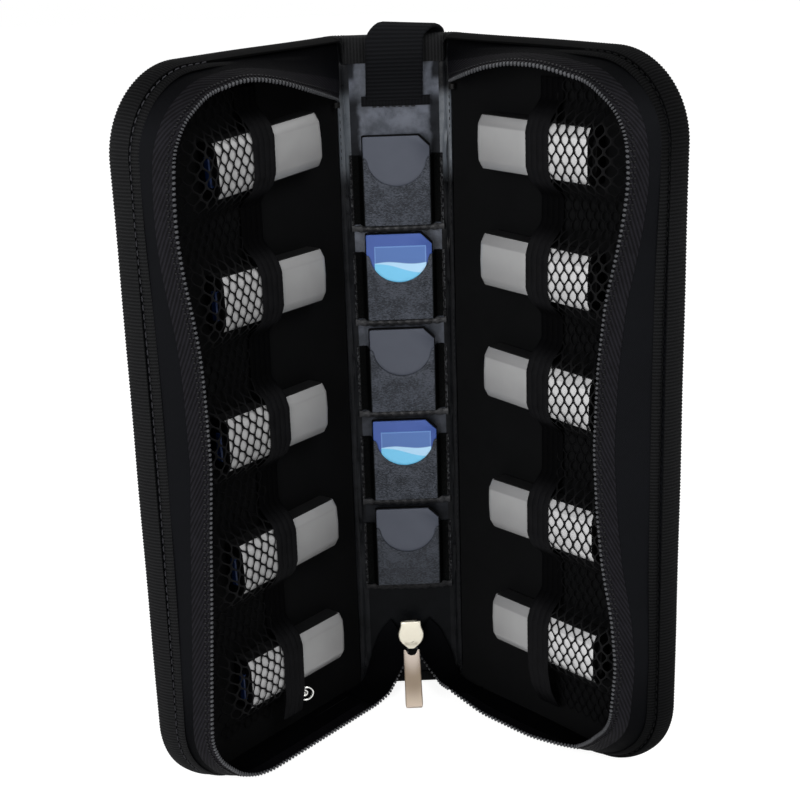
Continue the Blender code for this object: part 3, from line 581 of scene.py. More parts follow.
def coated(name, low, high, roughness, grain, wrinkle, dark, *zones):
    """Coated imitation leather with a pebbled grain, with painted shade outside its height zones."""
    look = Look(name, low, roughness)
    pebbles, folds, level = look.cells(0.75), look.noise(5.0, 4.0), look.zone(*zones)
    # the dark colours are the painted shade used outside the height zones
    look.colour(level, look.mixed(folds, *dark), look.mixed(folds, low, high)).shine(level, 0.04, 0.22)
    look.relief(pebbles, grain).relief(folds, wrinkle).relief(look.noise(1.3, 2.0), grain)
    return look.rough(look.noise(2.5), roughness - 0.1, roughness + 0.12).done()


def lining_look():
    """Coated lining of the spine with painted light and shade: pale where lit at the top, painted shade
    at the foot, in its upper side folds and in a blotch beside the loop.
    """
    look = Look("lining_skin", (0.03, 0.03, 0.04), 0.4)
    folds, height = look.noise(5.0, 4.0), look.axis("Z")
    wavy = look.scaled(look.noise(7.0), 5.0, look.aside())
    # painted shade in the upper side folds
    side = look.times(look.ramp(wavy, 14.2, 16.2), look.ramp(height, 238.0, 232.0))
    side = look.times(side, look.ramp(height, 200.0, 212.0))
    # a painted shade blotch beside the loop
    shade_blotch = look.ramp(look.sum("ABSOLUTE", look.sum("SUBTRACT", height, 244.5)), 5.0, 2.0)
    shade_blotch = look.times(shade_blotch, look.ramp(wavy, 15.8, 17.4))
    painted_shade = look.sum("MAXIMUM", side, shade_blotch)
    # painted light, falling to black towards the foot and under the painted shade
    level = look.times(look.ramp(height, 48.0, 205.0),
                     look.scaled(painted_shade, -0.9, 1.0))
    pale = look.mixed(look.ramp(folds, 0.3, 0.7), (0.046, 0.052, 0.065), (0.110, 0.120, 0.148))
    look.colour(level, look.mixed(folds, (0.0018, 0.0020, 0.0024), (0.0050, 0.0055, 0.0066)), pale)
    look.relief(look.cells(0.75), 0.05).relief(folds, 0.25).shine(level, 0.04, 0.22)
    return look.rough(look.noise(2.5), 0.30, 0.52).done()


def pocket_look():
    """Wrinkled leather of the pockets: grey in front with painted highlights on its wrinkles and darker
    for the lower pockets, with painted black shade at the sides.
    """
    look = Look("pocket_skin", (0.03, 0.03, 0.04), 0.45)
    longer = look.node("ShaderNodeMapping", Vector=look.place(), Scale=(0.45, 1.0, 1.0))
    wrinkled = look.noise(0.40, rough=0.65, place=longer.outputs[0])
    share = look.scaled(look.noise(6.0, 2.0), 0.5, wrinkled)
    # painted highlights spiking on the peaks of the wrinkled grain
    painted_light, aside = look.ramp(share, 0.60, 0.92), look.aside()
    # front darker for the lower pockets: painted shade
    front = look.mixed(look.ramp(look.axis("Z"), 20.0, 100.0),
                       look.mixed(painted_light, (0.006, 0.008, 0.012), (0.034, 0.039, 0.050)),
                       look.mixed(painted_light, (0.011, 0.014, 0.020), (0.066, 0.074, 0.094)))
    # crinkled seam with painted speckled highlights
    seam = look.mixed(look.ramp(look.noise(1.0), 0.42, 0.65),
                      (0.006, 0.006, 0.007), (0.050, 0.052, 0.055))
    # black box sides and side strips, with low shine: painted shade
    edge = look.mixed(look.ramp(aside, 15.8, 16.3), (0.0012, 0.0014, 0.0014), seam)
    inside = look.ramp(aside, 12.2, 11.6)
    look.colour(inside, edge, front).shine(inside, 0.03, 0.30)
    look.relief(look.cells(0.6), 0.05).relief(wrinkled, 0.5)
    return look.rough(share, 0.34, 0.54).done()


def satin(name, low, high, roughness, shine=0.5, metallic=0.0, grain=0.01):
    """Painted or moulded hard surface with a faint texture."""
    look = Look(name, low, roughness, shine, metallic)
    cloud = look.noise(6.0, 4.0)
    look.colour(cloud, low, high).relief(look.noise(0.5, 2.0), grain)
    return look.rough(cloud, roughness - 0.05, roughness + 0.07).done()


def drive_look(name, painted_light, bevel):
    """Silver painted case with painted light: brighter over its outer half and across part of its face,
    its upper bevel darkened to a share of the tone as painted shade.
    """
    look = Look(name, (0.28, 0.28, 0.28), 0.38, 0.4, 0.15)
    along, across = look.cloth_map()
    cloud = look.noise(6.0, 4.0)
    # painted light across the face over a cloudy tone; the upper bevel darkened as painted shade
    face = look.scaled(look.ramp(across, 43.0, 28.6), 0.65, look.times(cloud, 0.35))
    face = look.times(face, look.scaled(look.ramp(across, 27.9, 28.6), 1 - bevel, bevel))
    tone = look.scaled(look.ramp(along, 0.0, 22.0), 0.25, face)
    painted_shade, bright = (0.225, 0.225, 0.228), (0.350, 0.350, 0.352)
    near = look.mixed(tone, painted_shade, bright)
    # the outer half brightened by a factor: painted light, stronger on the right wing
    far = look.mixed(tone, dimmed(painted_shade, painted_light), dimmed(bright, painted_light))
    look.colour(look.ramp(along, 20.0, 34.0), near, far).relief(look.noise(0.5, 2.0), 0.01)
    return look.rough(cloud, 0.33, 0.45).done()


def teeth_look(name, low, high):
    """Moulded teeth with a painted highlight on their tips and painted shade over the rest."""
    look = Look(name, low, 0.45, 0.16)
    # painted highlight at the tips; the rest near black as painted shade
    tip = look.ramp(look.cloth_map()[0], 1.0, 1.35)
    look.colour(tip, (0.0035, 0.0035, 0.0042), look.mixed(look.noise(2.5), low, high))
    return look.relief(look.noise(0.4), 0.02).done()


def pull_look():
    """Warm metal of the pull with a painted reflection of the dark cloth, dimmer at mid-length."""
    look = Look("pull_metal", (0.8, 0.7, 0.6), 0.30, 0.4, 0.35)
    along = look.cloth_map()[0]
    near = look.mixed(look.ramp(along, 0.0, 11.0), (0.62, 0.53, 0.46), (0.27, 0.208, 0.150))
    look.colour(look.ramp(along, 13.0, 24.0), near, (0.56, 0.46, 0.37))
    return look.relief(look.noise(0.8, 2.0), 0.004).rough(look.noise(5.0), 0.26, 0.38).done()


def label_look():
    """Card label: a blue field with a thin pale line round it over a pale foot."""
    look = Look("card_label", (0.1, 0.35, 0.8), 0.35)
    look.put("Coat Weight", 0.2)
    along, across = look.cloth_map()
    level = look.scaled(look.wave(along, across, LABEL_LONG, None), 0.45, across)
    aside = look.sum("MINIMUM", along, look.sum("SUBTRACT", LABEL_LONG, along))
    line = look.ramp(look.sum("MINIMUM", aside, across), 0.55, 0.35)
    field = look.mixed(line, (0.060, 0.150, 0.420), (0.115, 0.235, 0.55))
    slope = look.scaled(along, -0.21, level)
    foot = look.mixed(look.ramp(slope, 6.4, 6.9), (0.44, 0.71, 0.95), (0.17, 0.58, 0.88))
    look.colour(look.ramp(level, 6.3, 6.7), field, foot)
    return look.relief(look.noise(0.8), 0.006).done()


def make_materials():
    """Every material by its name."""
    tape = (0.0026, 0.0027, 0.0030), (0.0092, 0.0094, 0.0100), 0.64, 0.07
    fold = (0.050, 0.057, 0.066), (0.105, 0.117, 0.135), 0.30, 0.04, 0.30
    # zones by height for painted light and shade: the fold lit only near its top, tapes and webbing
    # darkened at the foot
    fold_light_zones = (203.0, 214.0), (239.0, 233.0)
    end_shade_zone = (0.0, 60.0)
    kinds = (
        (nylon, {
            # the nylon's last number is the share kept under its painted shade at the foot and the top
            "nylon": ((0.0017, 0.0019, 0.0026), (0.0036, 0.0039, 0.0051), 0.68, 0.55, 0.05, 0.28),
            "cover_nylon": ((0.0048, 0.0048, 0.0054), (0.0098, 0.0098, 0.0108), 0.66, 0.75, 0.14),
            "lining_cloth": ((0.0020, 0.0021, 0.0023), (0.0036, 0.0037, 0.0040), 0.8, 0.6, 0.05)}),
        (ribbed, {
            "spine_tape": (*tape, end_shade_zone),
            "edge_tape_left": (*tape, TOP_SHADE_ZONE),
            # the right edge tape is a darker, shaded copy of the left one: painted shade, also at its
            # foot and top
            "edge_tape_right": ((0.0023, 0.0024, 0.0026), (0.0080, 0.0082, 0.0088), 0.64, 0.055,
                                (-20.0, 130.0), (256.0, 190.0)),
            "webbing": ((0.0022, 0.0024, 0.0030), (0.0050, 0.0053, 0.0064), 0.68, 0.05, end_shade_zone)}),
        (twill, {"zip_tape": ((0.0018, 0.0017, 0.0023), (0.0095, 0.0091, 0.0118), 0.66, 2.9, 1.3)}),
        (teeth_look, {"zip_teeth": ((0.034, 0.035, 0.039), (0.084, 0.086, 0.092)),
                      # darker copy of the teeth for their back row: painted shade
                      "zip_teeth_back": ((0.006, 0.006, 0.007), (0.016, 0.016, 0.018))}),
        (draped, {"elastic": ((0.0015, 0.0015, 0.0018), (0.0064, 0.0064, 0.0072), 0.74, 0.05),
                  "net": ((0.0030, 0.0030, 0.0034), (0.0062, 0.0062, 0.0066), 0.66, 0.07)}),
        (coated, {
            # the hem darkens towards the foot: painted shade
            "hem_skin": ((0.004, 0.004, 0.0045), (0.036, 0.037, 0.041), 0.42, 0.06, 0.4,
                         ((0.002, 0.002, 0.0022), (0.018, 0.018, 0.020)), (20.0, 120.0)),
            "fold_skin_left": (*fold, ((0.0022, 0.0025, 0.0027), (0.020, 0.021, 0.024)), *fold_light_zones),
            # the right fold's dark colours are a darker, shaded copy of the left's: painted shade
            "fold_skin_right": (*fold, ((0.0012, 0.0014, 0.0015), (0.0100, 0.0105, 0.012)),
                                *fold_light_zones)}),
        (satin, {
            "thread": ((0.0035, 0.0035, 0.0040), (0.0090, 0.0090, 0.0098), 0.55, 0.15),
            "thread_pale": ((0.010, 0.010, 0.012), (0.026, 0.026, 0.030), 0.6, 0.12),
            "drive_end": ((0.0012, 0.0012, 0.0014), (0.0024, 0.0024, 0.0026), 0.6, 0.04),
            "drive_side": ((0.0055, 0.0055, 0.006), (0.010, 0.010, 0.0105), 0.5, 0.12),
            "tongue": ((0.0018, 0.0085, 0.036), (0.0030, 0.0130, 0.054), 0.35, 0.2),
            "zip_stop_metal": ((0.003, 0.003, 0.003), (0.006, 0.006, 0.006), 0.5, 0.12),
            "card_grey": ((0.056, 0.063, 0.084), (0.072, 0.080, 0.104), 0.45, 0.3),
            "card_blue": ((0.052, 0.100, 0.34), (0.064, 0.118, 0.38), 0.42, 0.3),
            "champagne": ((0.78, 0.73, 0.60), (0.86, 0.82, 0.69), 0.30, 0.5, 0.6, 0.004),
            "ring_metal": ((0.72, 0.72, 0.70), (0.82, 0.82, 0.80), 0.18, 0.5, 1.0, 0.003)}),
        # left and right copies of one case, painted light: the right one lit brighter and its upper
        # bevel shaded darker
        (drive_look, {"drive_case_left": (1.32, 0.8), "drive_case_right": (1.76, 0.0)}))
    made = {name: make(name, *values) for make, rows in kinds for name, values in rows.items()}
    return {**made, "lining_skin": lining_look(), "pocket_skin": pocket_look(),
            "card_label": label_look(), "pull_metal": pull_look()}


LABEL_LONG = 19.0
LOOKS = make_materials()


# ---------------------------------------------------------------- the covers

def rib_stations(total, pitch=RIB):
    """Arc lengths that catch every rib, and the lift of the surface there."""
    count = int(round(total / pitch)) * RIB_STEPS
    at = np.linspace(0, total, count + 1)
    return at, RIB_DEPTH * np.cos(np.arange(count + 1) * TURN / RIB_STEPS)


def outward(line):
    """Directions square to a flat line of points."""
    way = np.gradient(line, axis=0)
    way /= np.linalg.norm(way, axis=1, keepdims=True)
    return np.stack((-way[:, 1], way[:, 0]), -1)


def ring_profile(line, thick):
    """Closed profile round a centre line given in (inset, rise), with its outward way."""
    line = np.asarray(line, float)
    out = outward(line)
    outer, inner = line + out * thick / 2, line - out * thick / 2
    lift = np.concatenate((out, 0 * out))
    return np.concatenate((outer, inner[::-1])), lift


TAPE_LINE = ((5.6, -2.3), (4.0, -2.36), (2.4, -2.36), (1.1, -2.2), (0.45, -1.7), (0.2, -0.9),
             (0.15, 0.3), (0.15, 1.6), (0.3, 2.9), (0.55, 4.1), (0.9, 5.1), (1.2, 5.9))


def outline_reach(z, inset):
    """Reach of a cover's outline at heights z, inside the rim by an inset."""
    radius, turn = CORNER - inset, REACH - CORNER
    past = np.maximum(np.maximum(z - (HEIGHT - CORNER), CORNER - z), 0)
    return turn + np.sqrt(np.maximum(radius ** 2 - past ** 2, 0))


def panel_rows(side, start, inset, rise, wave, seed):
    """Face of a cover as rows of points."""
    z = HEIGHT / 2 - (HEIGHT / 2 - inset) * np.cos(np.linspace(0, math.pi, 120))
    share = np.sin(np.linspace(0, 1, 50) * math.pi / 2)
    reach = start + (outline_reach(z, inset)[:, None] - start) * share[None, :]
    level = np.broadcast_to(z[:, None], reach.shape)
    lift = rise + wave * ripple(reach / 14, level / 20, seed)
    return on_wing(side, reach, lift, level)


def make_cover(side):
    """Board with its outer nylon, and the lining cloth inside."""
    board_edge, lining_edge = (2.6, 0.9), (3.7, 1.4)
    back = panel_rows(side, *board_edge, -1.85, 0.08, 3)
    front = panel_rows(side, *board_edge, 1.6, 0.0, 3)
    board = Shape().rings(closed(back, front))
    board.on_side(side, "cover_board", "cover_nylon", "nylon", "cover")
    face = panel_rows(side, *lining_edge, LINING_FACE - 0.05, 0.10, 5 + SIDES[side])
    low = panel_rows(side, *lining_edge, 1.95, 0.0, 5)
    cloth = Shape().rings(closed(face, low))
    cloth.on_side(side, "lining_cloth", "lining_cloth", "lining_cloth", "lining")


def make_edge_tape(side):
    """Ribbed tape folded round the rim, with its row of stitches."""
    at, ribs = rib_stations(rim_total(TAPE_RUN))
    profile, lift = ring_profile(TAPE_LINE, 0.62)
    wobble = 0.12 * ripple(at / 16, 0 * at, 11)
    section = profile[None] + lift[None] * (ribs + wobble)[:, None, None]
    rows = rim_points(side, TAPE_RUN, at[:, None], section[..., 0], section[..., 1])
    shape = Shape().rings(rows, ribs=True)
    shape.on_side(side, "rim_tape", f"edge_tape_{side}", "edge_tape", "edge_tape", sharp=60)
    sewn = Shape()
    run = np.linspace(1.5, rim_total(TAPE_RUN) - 1.5, 700)
    for inset, rise, out in ((4.5, -2.72, (0, -1)), (1.25, 5.0, (-0.87, 0.5))):
        path = rim_points(side, TAPE_RUN, run, inset, rise)
        tip = rim_points(side, TAPE_RUN, run, inset + out[0], rise + out[1])
        stitches(sewn, path, tip - path)
    sewn.on_side(side, "rim_stitches", "thread", "edge_tape")


WALL_ROOT = 1.25


def make_side_wall(side):
    """Nylon side wall with its second ribbed strip and the twill tape of the zip."""
    at = np.linspace(0, WALL_TOTAL, 380)
    across = wall_frame(side, at)[0]
    share = np.linspace(0, 1, 12)
    width = share[None] * (across - ZIP_TAPE - TOOTH_LONG + 0.5 + WALL_ROOT)[:, None] - WALL_ROOT
    waves = 0.30 * ripple(at[:, None] / 13, width / 7, 21) * np.sin(share * math.pi)[None]
    rows = wall_points(side, at[:, None], width, 0.4 + waves)
    wall = Shape().sheet(rows, 0.7 * SIDES[side])
    wall.on_side(side, "wall_nylon", "nylon", "nylon", "side_wall")
    share = np.linspace(0, 1, 6)
    width = (across - ZIP_TAPE - TOOTH_LONG)[:, None] + share[None] * (ZIP_TAPE + 0.95)
    rows = wall_points(side, at[:, None], width, 0.62 - 0.25 * share[None])
    tape = Shape().sheet(rows, 0.6 * SIDES[side])
    tape.on_side(side, "zip_twill", "zip_tape", "zip_tape", "zip_tape")
    make_wall_strip(side)


def make_wall_strip(side):
    """Second ribbed strip up the wall, beside the edge tape."""
    start, total = 0.03 * WALL_TOTAL, 0.97 * WALL_TOTAL
    at, ribs = rib_stations(total)
    at = at + start
    width = np.array((2.3, 2.9, 3.9, 4.9, 5.5))
    out = np.array((0.75, 1.05, 1.15, 1.05, 0.75))
    sunk = (1 - rise_share((at / WALL_TOTAL - 0.115) / 0.05))[:, None]
    face = wall_points(side, at[:, None], width[None], out[None] + ribs[:, None] - 1.0 * sunk)
    low = wall_points(side, at[:, None], width[None], 0.45 + 0 * ribs[:, None] - 1.0 * sunk)
    strip = Shape().rings(closed(face, low), ribs=True)
    strip.on_side(side, "ribbed_strip", f"edge_tape_{side}", "edge_tape", "wall_strip", sharp=60)
    sewn = Shape()
    run = np.linspace(0.15 * WALL_TOTAL, WALL_TOTAL - 1, 700)
    path = wall_points(side, run, 2.35, 1.12)
    stitches(sewn, path, wall_points(side, run, 2.35, 2.12) - path, 3.0, 2.2, 0.26)
    # the same thread, pale on the left wing and dark on the right: painted light and shade
    look = "thread_pale" if side == "left" else "lining_cloth"
    sewn.on_side(side, "strip_stitches", look, "edge_tape")


TOOTH_PITCH = 1.70


def tooth_form():
    """Rounded tooth as rings of (along, across, out)."""
    ring = circle(8)
    return np.array([xyz(0.50 * size * ring[:, 0], step, 0.70 * size * ring[:, 1])
                     for step, size in zip((-1.0, -0.86, -0.3, -0.02, 0.3, 0.65, 0.9, 1.0),
                                           (0.3, 0.60, 0.64, 0.82, 1.06, 1.06, 0.72, 0.25))])


def make_teeth(side):
    """Single teeth along the free edge of the wall."""
    form, shape, backs = tooth_form(), Shape(), Shape()
    half = TOOTH_LONG / 2
    for at in np.arange(0.6, WALL_TOTAL - 0.4, TOOTH_PITCH):
        across = wall_frame(side, at)[0]
        shape.rings(wall_points(side, at + form[..., 0], across - half + form[..., 1] * half,
                                form[..., 2] + 0.1))
        # back row of the teeth, in the darker copy of their material: painted shade
        backs.rings(wall_points(side, at + form[..., 0] * 0.75, across - 2.55 + form[..., 1] * 0.42,
                                0.55 + form[..., 2] * 0.5))
    shape.on_side(side, "teeth", "zip_teeth", "zip_teeth", "zip_teeth")
    backs.on_side(side, "teeth_backs", "zip_teeth_back", "zip_teeth")


def make_stop(side):
    """Crimped metal stop at the upper end of the zip."""
    middle, wide, thick = HEIGHT - ZIP_RISE * PLEAT_LEAN[side][0] - 1.2, 1.35, 1.0125
    ring = circle(12) * (wide, thick)
    rings = [on_wing(side, 5.7 + ring[:, 0] * size, 4.5 + ring[:, 1] * size, middle + step * 1.1)
             for step, size in ((-1, 0.75), (-0.8, 1), (0.8, 1), (1, 0.75))]
    Shape().rings(rings).on_side(side, "zip_end_stop", "zip_stop_metal", "zip_metal", "zip_stop")


# ---------------------------------------------------------------- net, elastic, drives

NET_LOW, NET_MIDDLE, NET_END = 3.5, 66.0, 97.0
NET_HALF, NET_OVER, NET_MARGIN = 48.0, 20.0, 13.0
BAND_DRAPE = 0.95, 0.5
CELL_WIDE, CELL_HIGH = 4.0, 3.33
CELL_EDGE = ((0, 2.55), (1.0, 1.665), (2.0, 0.78), (2.0, 0), (2.0, -0.78), (1.0, -1.665))
CELL_HOLE = ((0, 2.20), (0.87, 1.43), (1.44, 0.66), (1.60, 0), (1.44, -0.66), (0.87, -1.43))

# how far the net is stretched and drawn askew: width of a cell, drift of a row's middle
# with height, slope of the rows, and the share of that skew by height
NET_SKEW = {"left": (0.9275, 0.263, -0.28), "right": (0.9875, 0.0, 0.2475)}
NET_PULLED = {
    "left": np.array(((0, 1.0), (79, 1.1), (126, 1.0), (176, 0.65), (222, 0.4), (256, 0.4))),
    "right": np.array(((0, 0.0), (41, 0.1), (87, 0.5), (137, 1.0), (179, 0.6), (222, 0.25),
                       (256, 0.2)))}


def row_line(side, t):
    """Heights of the drives' middle lines at reaches t, one row for each drive."""
    t = np.asarray(t, float)[None]
    shape = (-1,) + (1,) * (t.ndim - 1)
    middle, tilt = DRIVE_ROWS[side].reshape(shape), DRIVE_TILT[side].reshape(shape)
    return middle + (t - DRIVE_MIDDLE) * np.tan(tilt)


def drape(side, t, z, cover, hold=0.0):
    """Height of cloth laid over the drives and drawn down between them."""
    t, z = np.broadcast_arrays(np.asarray(t, float), np.asarray(z, float))
    away = np.abs(z[None] - row_line(side, t))
    gap, nearest = away.min(axis=0), away.argmin(axis=0)
    gap = gap * (1 - hold * rise_share((DRIVE_ROWS[side][-1] - z) / 8))
    crown = DRIVE_TOP + cover - 1.25 * rise_share((gap - 5.5) / 4.5)
    share = 1 - rise_share((gap - 9.0) / 8.5)
    share = share * (1 - rise_share((t - 77.0 - DRIVE_OUT[side][nearest]) / 13.0))
    return NET_LOW + cover / 2 + (crown - NET_LOW - cover / 2) * share


def net_skew(side, x, z):
    """Reach and height of a lattice place, x beside the net's middle."""
    wide, drift, slope = NET_SKEW[side]
    level = np.linspace(0, HEIGHT, 129)
    pulled = np.interp(level, NET_PULLED[side][:, 0], NET_PULLED[side][:, 1])
    drifted = np.cumsum(pulled) * (level[1] - level[0]) * drift
    drifted -= drifted[64]
    t = NET_MIDDLE + wide * x + np.interp(z, level, drifted)
    return t, z + slope * np.interp(z, level, pulled) * x


def net_place(side, x, y, off):
    """Net point after the cloth's own small pull and waves."""
    t, z = net_skew(side, x, y)
    pull_t = 0.35 * ripple(t / 9, z / 11, 31) + 0.10 * ripple(t / 3, z / 3, 32)
    pull_z = 0.40 * ripple(t / 10, z / 9, 33) + 0.10 * ripple(t / 3, z / 3, 34)
    slack = rise_share((np.abs(z[None] - row_line(side, t)).min(axis=0) - 9) / 6)
    wave = 0.55 * slack * ripple(t / 5, z / 3.2, 35)
    place_t = t + pull_t * np.clip((t - 58) / 6, 0, 1)
    return on_wing(side, place_t, drape(side, place_t, z + pull_z, 0.5) + wave + off, z + pull_z)


def make_net(side):
    """Knitted net: a honeycomb of lemon-shaped holes with rounded strands."""
    edge, hole = (np.array(form + ((0, -form[0][1]),) + tuple((-a, b) for a, b in reversed(form[1:])))
                  for form in (CELL_EDGE, CELL_HOLE))
    shape, start = Shape(), TRIM_INNER[side] + TRIM_WIDTH - 2.0
    for row, y in enumerate(np.arange(-NET_OVER, HEIGHT + NET_OVER, CELL_HIGH)):
        for x in np.arange(-NET_HALF, NET_HALF, CELL_WIDE) + CELL_WIDE / 2 * (row % 2):
            t, z = net_skew(side, x, y)
            if not (start < t < NET_END - 1.5 and NET_MARGIN < z < HEIGHT - NET_MARGIN):
                continue
            middle = np.array((x, y))
            outer, inner = middle + edge, middle + hole
            halfway = (outer + inner) / 2
            rings = [net_place(side, line[:, 0], line[:, 1], off)
                     for line, off in ((inner, 0.0), (halfway, 0.15), (outer, 0.20),
                                       (outer, -0.10), (halfway, -0.10))]
            shape.rings(rings, capped=False, looped=True)
    shape.on_side(side, "knitted_net", "net", "net", "net_pocket", sharp=80)


def make_elastic(side):
    """Corded elastic band across the drives."""
    z = np.arange(11.5, HEIGHT - 11.0, 0.8)
    across = np.linspace(0, 1, 41)
    cords = 0.34 * np.abs(np.sin(across * math.pi * 4)) ** 0.7 - 0.1
    t = TRIM_INNER[side] + TRIM_WIDTH * across
    ease = 0.5 * ripple(z / 13, 0 * z, 41)
    rise = drape(side, t[None], z[:, None], *BAND_DRAPE) + cords[None] + 0.05 * np.sin(z * 3.3)[:, None]
    tuck = 2.5 * np.clip(np.abs(across - 0.5) * 2 - 0.8, 0, 1)
    face = on_wing(side, t[None] + ease[:, None] * 0.35, rise - tuck[None] * 0.3, z[:, None])
    band = Shape().sheet(face, 0.75 * SIDES[side])
    band.on_side(side, "elastic_band", "elastic", "elastic", "elastic_trim")
    sewn = Shape()
    for place in (TRIM_INNER[side] + 0.9, TRIM_INNER[side] + TRIM_WIDTH - 0.9):
        lift = drape(side, place, z, *BAND_DRAPE) + 0.1
        path = on_wing(side, place + ease * 0.35, lift, z)
        stitches(sewn, path, on_wing(side, place + ease * 0.35, lift + 1, z) - path, 2.4, 1.6, 0.13)
    sewn.on_side(side, "elastic_stitches", "elastic", "elastic")


def on_drive(side, row, t, h, across):
    """Points of a drive, pushed out and tilted about its own middle."""
    tilt, t = DRIVE_TILT[side][row - 1], t - DRIVE_MIDDLE
    reach = DRIVE_MIDDLE + DRIVE_OUT[side][row - 1] + t * math.cos(tilt) - across * math.sin(tilt)
    level = DRIVE_ROWS[side][row - 1] + t * math.sin(tilt) + across * math.cos(tilt)
    return on_wing(side, reach, h, level)


def drive_ring(half, low, high, bevel, drop, corner=0.5):
    """Cut across a drive with its bevels and softly rounded corners."""
    outline = [(-half, low + corner), (-half + corner, low), (0, low), (half - corner, low),
               (half, low + corner), (half, high - drop - corner * 0.6),
               (half - corner * 0.5, high - drop), (half - bevel, high - 0.08),
               (half - bevel - 0.7, high), (0, high + 0.12), (bevel + 0.7 - half, high),
               (bevel - half, high - 0.08), (corner * 0.5 - half, high - drop),
               (-half, high - drop - corner * 0.6)]
    return np.array(outline)


def make_drive(side, row):
    """Drive with bevelled bands, its dark end and the tongue of its plug."""
    body = f"drive_{side}_{row}"
    node = f"usb_drive_{side}_{row}"
    stations = ((0.0, 1.15), (0.12, 0.75), (0.45, 0.32), (1.0, 0.08), (1.7, 0.0), (12.0, 0.0),
                (30.0, 0.0), (50.0, 0.0), (50.9, 0.08), (51.2, 0.35))
    low, high, bevel = DRIVE_LOW + 0.05, DRIVE_TOP + 0.02, (2.75, 1.45)
    rings = []
    for reach, shrink in stations:
        ring = drive_ring(DRIVE_HALF - shrink, low + shrink, DRIVE_TOP - shrink, *bevel)
        belly = 0.55 * (1 - (ring[:, 0] / DRIVE_HALF) ** 2) * (1 - min(reach / 2, 1))
        rings.append(on_drive(side, row, DRIVE_INNER + reach - belly, ring[:, 1], ring[:, 0]))
    shell = Shape().rings(rings)
    shell.ride(body, f"drive_shell_{side}_{row}", f"drive_case_{side}", "drive_case", node, sharp=28)
    ends = [(reach, drive_ring(DRIVE_HALF - shrink, low + shrink, high - shrink, *bevel))
            for reach, shrink in ((-0.30, 0.02), (0.20, 0.02), (0.35, 0.30))]
    ends += [(reach, drive_ring(DRIVE_HALF - shrink, 4.8, 9.2, 1.6, 0.9, 0.4))
             for reach, shrink in ((0.35, 3.3), (1.2, 3.3), (1.3, 3.6))]
    dark = Shape().rings([on_drive(side, row, DRIVE_OUTER + reach, ring[:, 1], ring[:, 0])
                          for reach, ring in ends])
    dark.ride(body, f"drive_dark_{side}_{row}", "drive_end", "drive_case")
    flanks = Shape()
    a, b = np.array(((-1, -1), (1, -0.9), (1, 0.97), (-1, 1))).T
    for edge in (-1, 1):
        flanks.rings([on_drive(side, row, DRIVE_INNER + reach, 6.3 + b * 3.2 * size,
                               edge * (DRIVE_HALF - 0.02 + a * 0.14))
                      for reach, size in ((0.9, 0.5), (1.4, 1.0), (50.7, 1.0), (51.1, 0.5))])
    flanks.ride(body, f"drive_flanks_{side}_{row}", "drive_side", "drive_case")
    a, b = np.array((-1, -0.5, 0, 0.5, 1, 1, 0.5, 0, -0.5, -1)), np.repeat((-1, 1), 5)
    rings = [on_drive(side, row, DRIVE_OUTER + reach, 8.0 + 1.1 * size * b, 5.0 * size * a)
             for reach, size in ((0.6, 1.0), (1.8, 1.0), (2.0, 0.85))]
    # the right wing's tongues take the black end material, a shaded copy: painted shade
    look = "tongue" if side == "left" else "drive_end"
    Shape().rings(rings).ride(body, f"tongue_{side}_{row}", look, "drive_case")


def make_eyelet():
    """Split ring on its rivet beside the lowest drive, turned a little towards the front."""
    t0, z0, turned = TRIM_INNER["left"] - 7.6, DRIVE_ROWS["left"][-1] - 19.9, math.radians(-32)
    (cosine, sine), small = circle(48).T, circle(10)
    shape = Shape()
    for reach, thick, rise in ((2.65, 0.50, 4.9), (1.15, 0.42, 4.0)):
        wide = reach + thick * small[:, 0]
        aside, off = wide * cosine[:, None], thick * small[:, 1]
        rows = on_wing("left", t0 + aside * math.cos(turned) - off * math.sin(turned),
                       rise + aside * math.sin(turned) + off * math.cos(turned),
                       z0 + wide * sine[:, None])
        shape.rings(rows, looped=True)
    dome = [on_wing("left", t0 + r * cosine, LINING_FACE + h, z0 + r * sine)
            for r, h in ((0.95, -0.15), (0.9, 1.3), (0.5, 1.5), (0.04, 1.55))]
    shape.rings(dome)
    shape.ride("wing_left", "eyelet_ring", "ring_metal", "ring_metal", "lining_eyelet")


# ---------------------------------------------------------------- the spine

def make_spine_board():
    """Spine board with its outer nylon."""
    x = np.linspace(-SPINE_HALF, SPINE_HALF, 14)
    x = np.concatenate((x, x[::-1]))
    y = np.concatenate((np.full(14, -1.68), np.full(14, 1.8)))
    z = np.linspace(1.0, HEIGHT - 1.0, 70)
    swell = np.where(y > 0, 1, 0)[None] * 0.08 * ripple(x[None] / 12, z[:, None] / 16, 51)
    rows = xyz(x[None], y[None] + swell, z[:, None])
    board = Shape().rings(rows)
    board.ride("spine", "spine_board", "cover_nylon", "nylon", "spine_panel")


def make_spine_lining():
    """Glossy lining down the spine, with soft waves."""
    x, z = np.linspace(-SKIN_HALF, SKIN_HALF, 40), np.linspace(1.0, HEIGHT - 1.2, 190)
    edge = rise_share((SKIN_HALF - np.abs(x)) / 3)[None]
    high = rise_share((z - 205) / 20)[:, None]
    wave = (0.16 * ripple(x[None] / 6, z[:, None] / 7, 61)
            + 0.28 * high * ripple(x[None] / 4, z[:, None] / 9, 62))
    rows = xyz(x[None], -LINING_FACE - 0.1 - wave * edge, z[:, None])
    skin = Shape().sheet(rows, 0.55)
    skin.ride("spine", "spine_skin", "lining_skin", "lining_skin", "spine_lining")


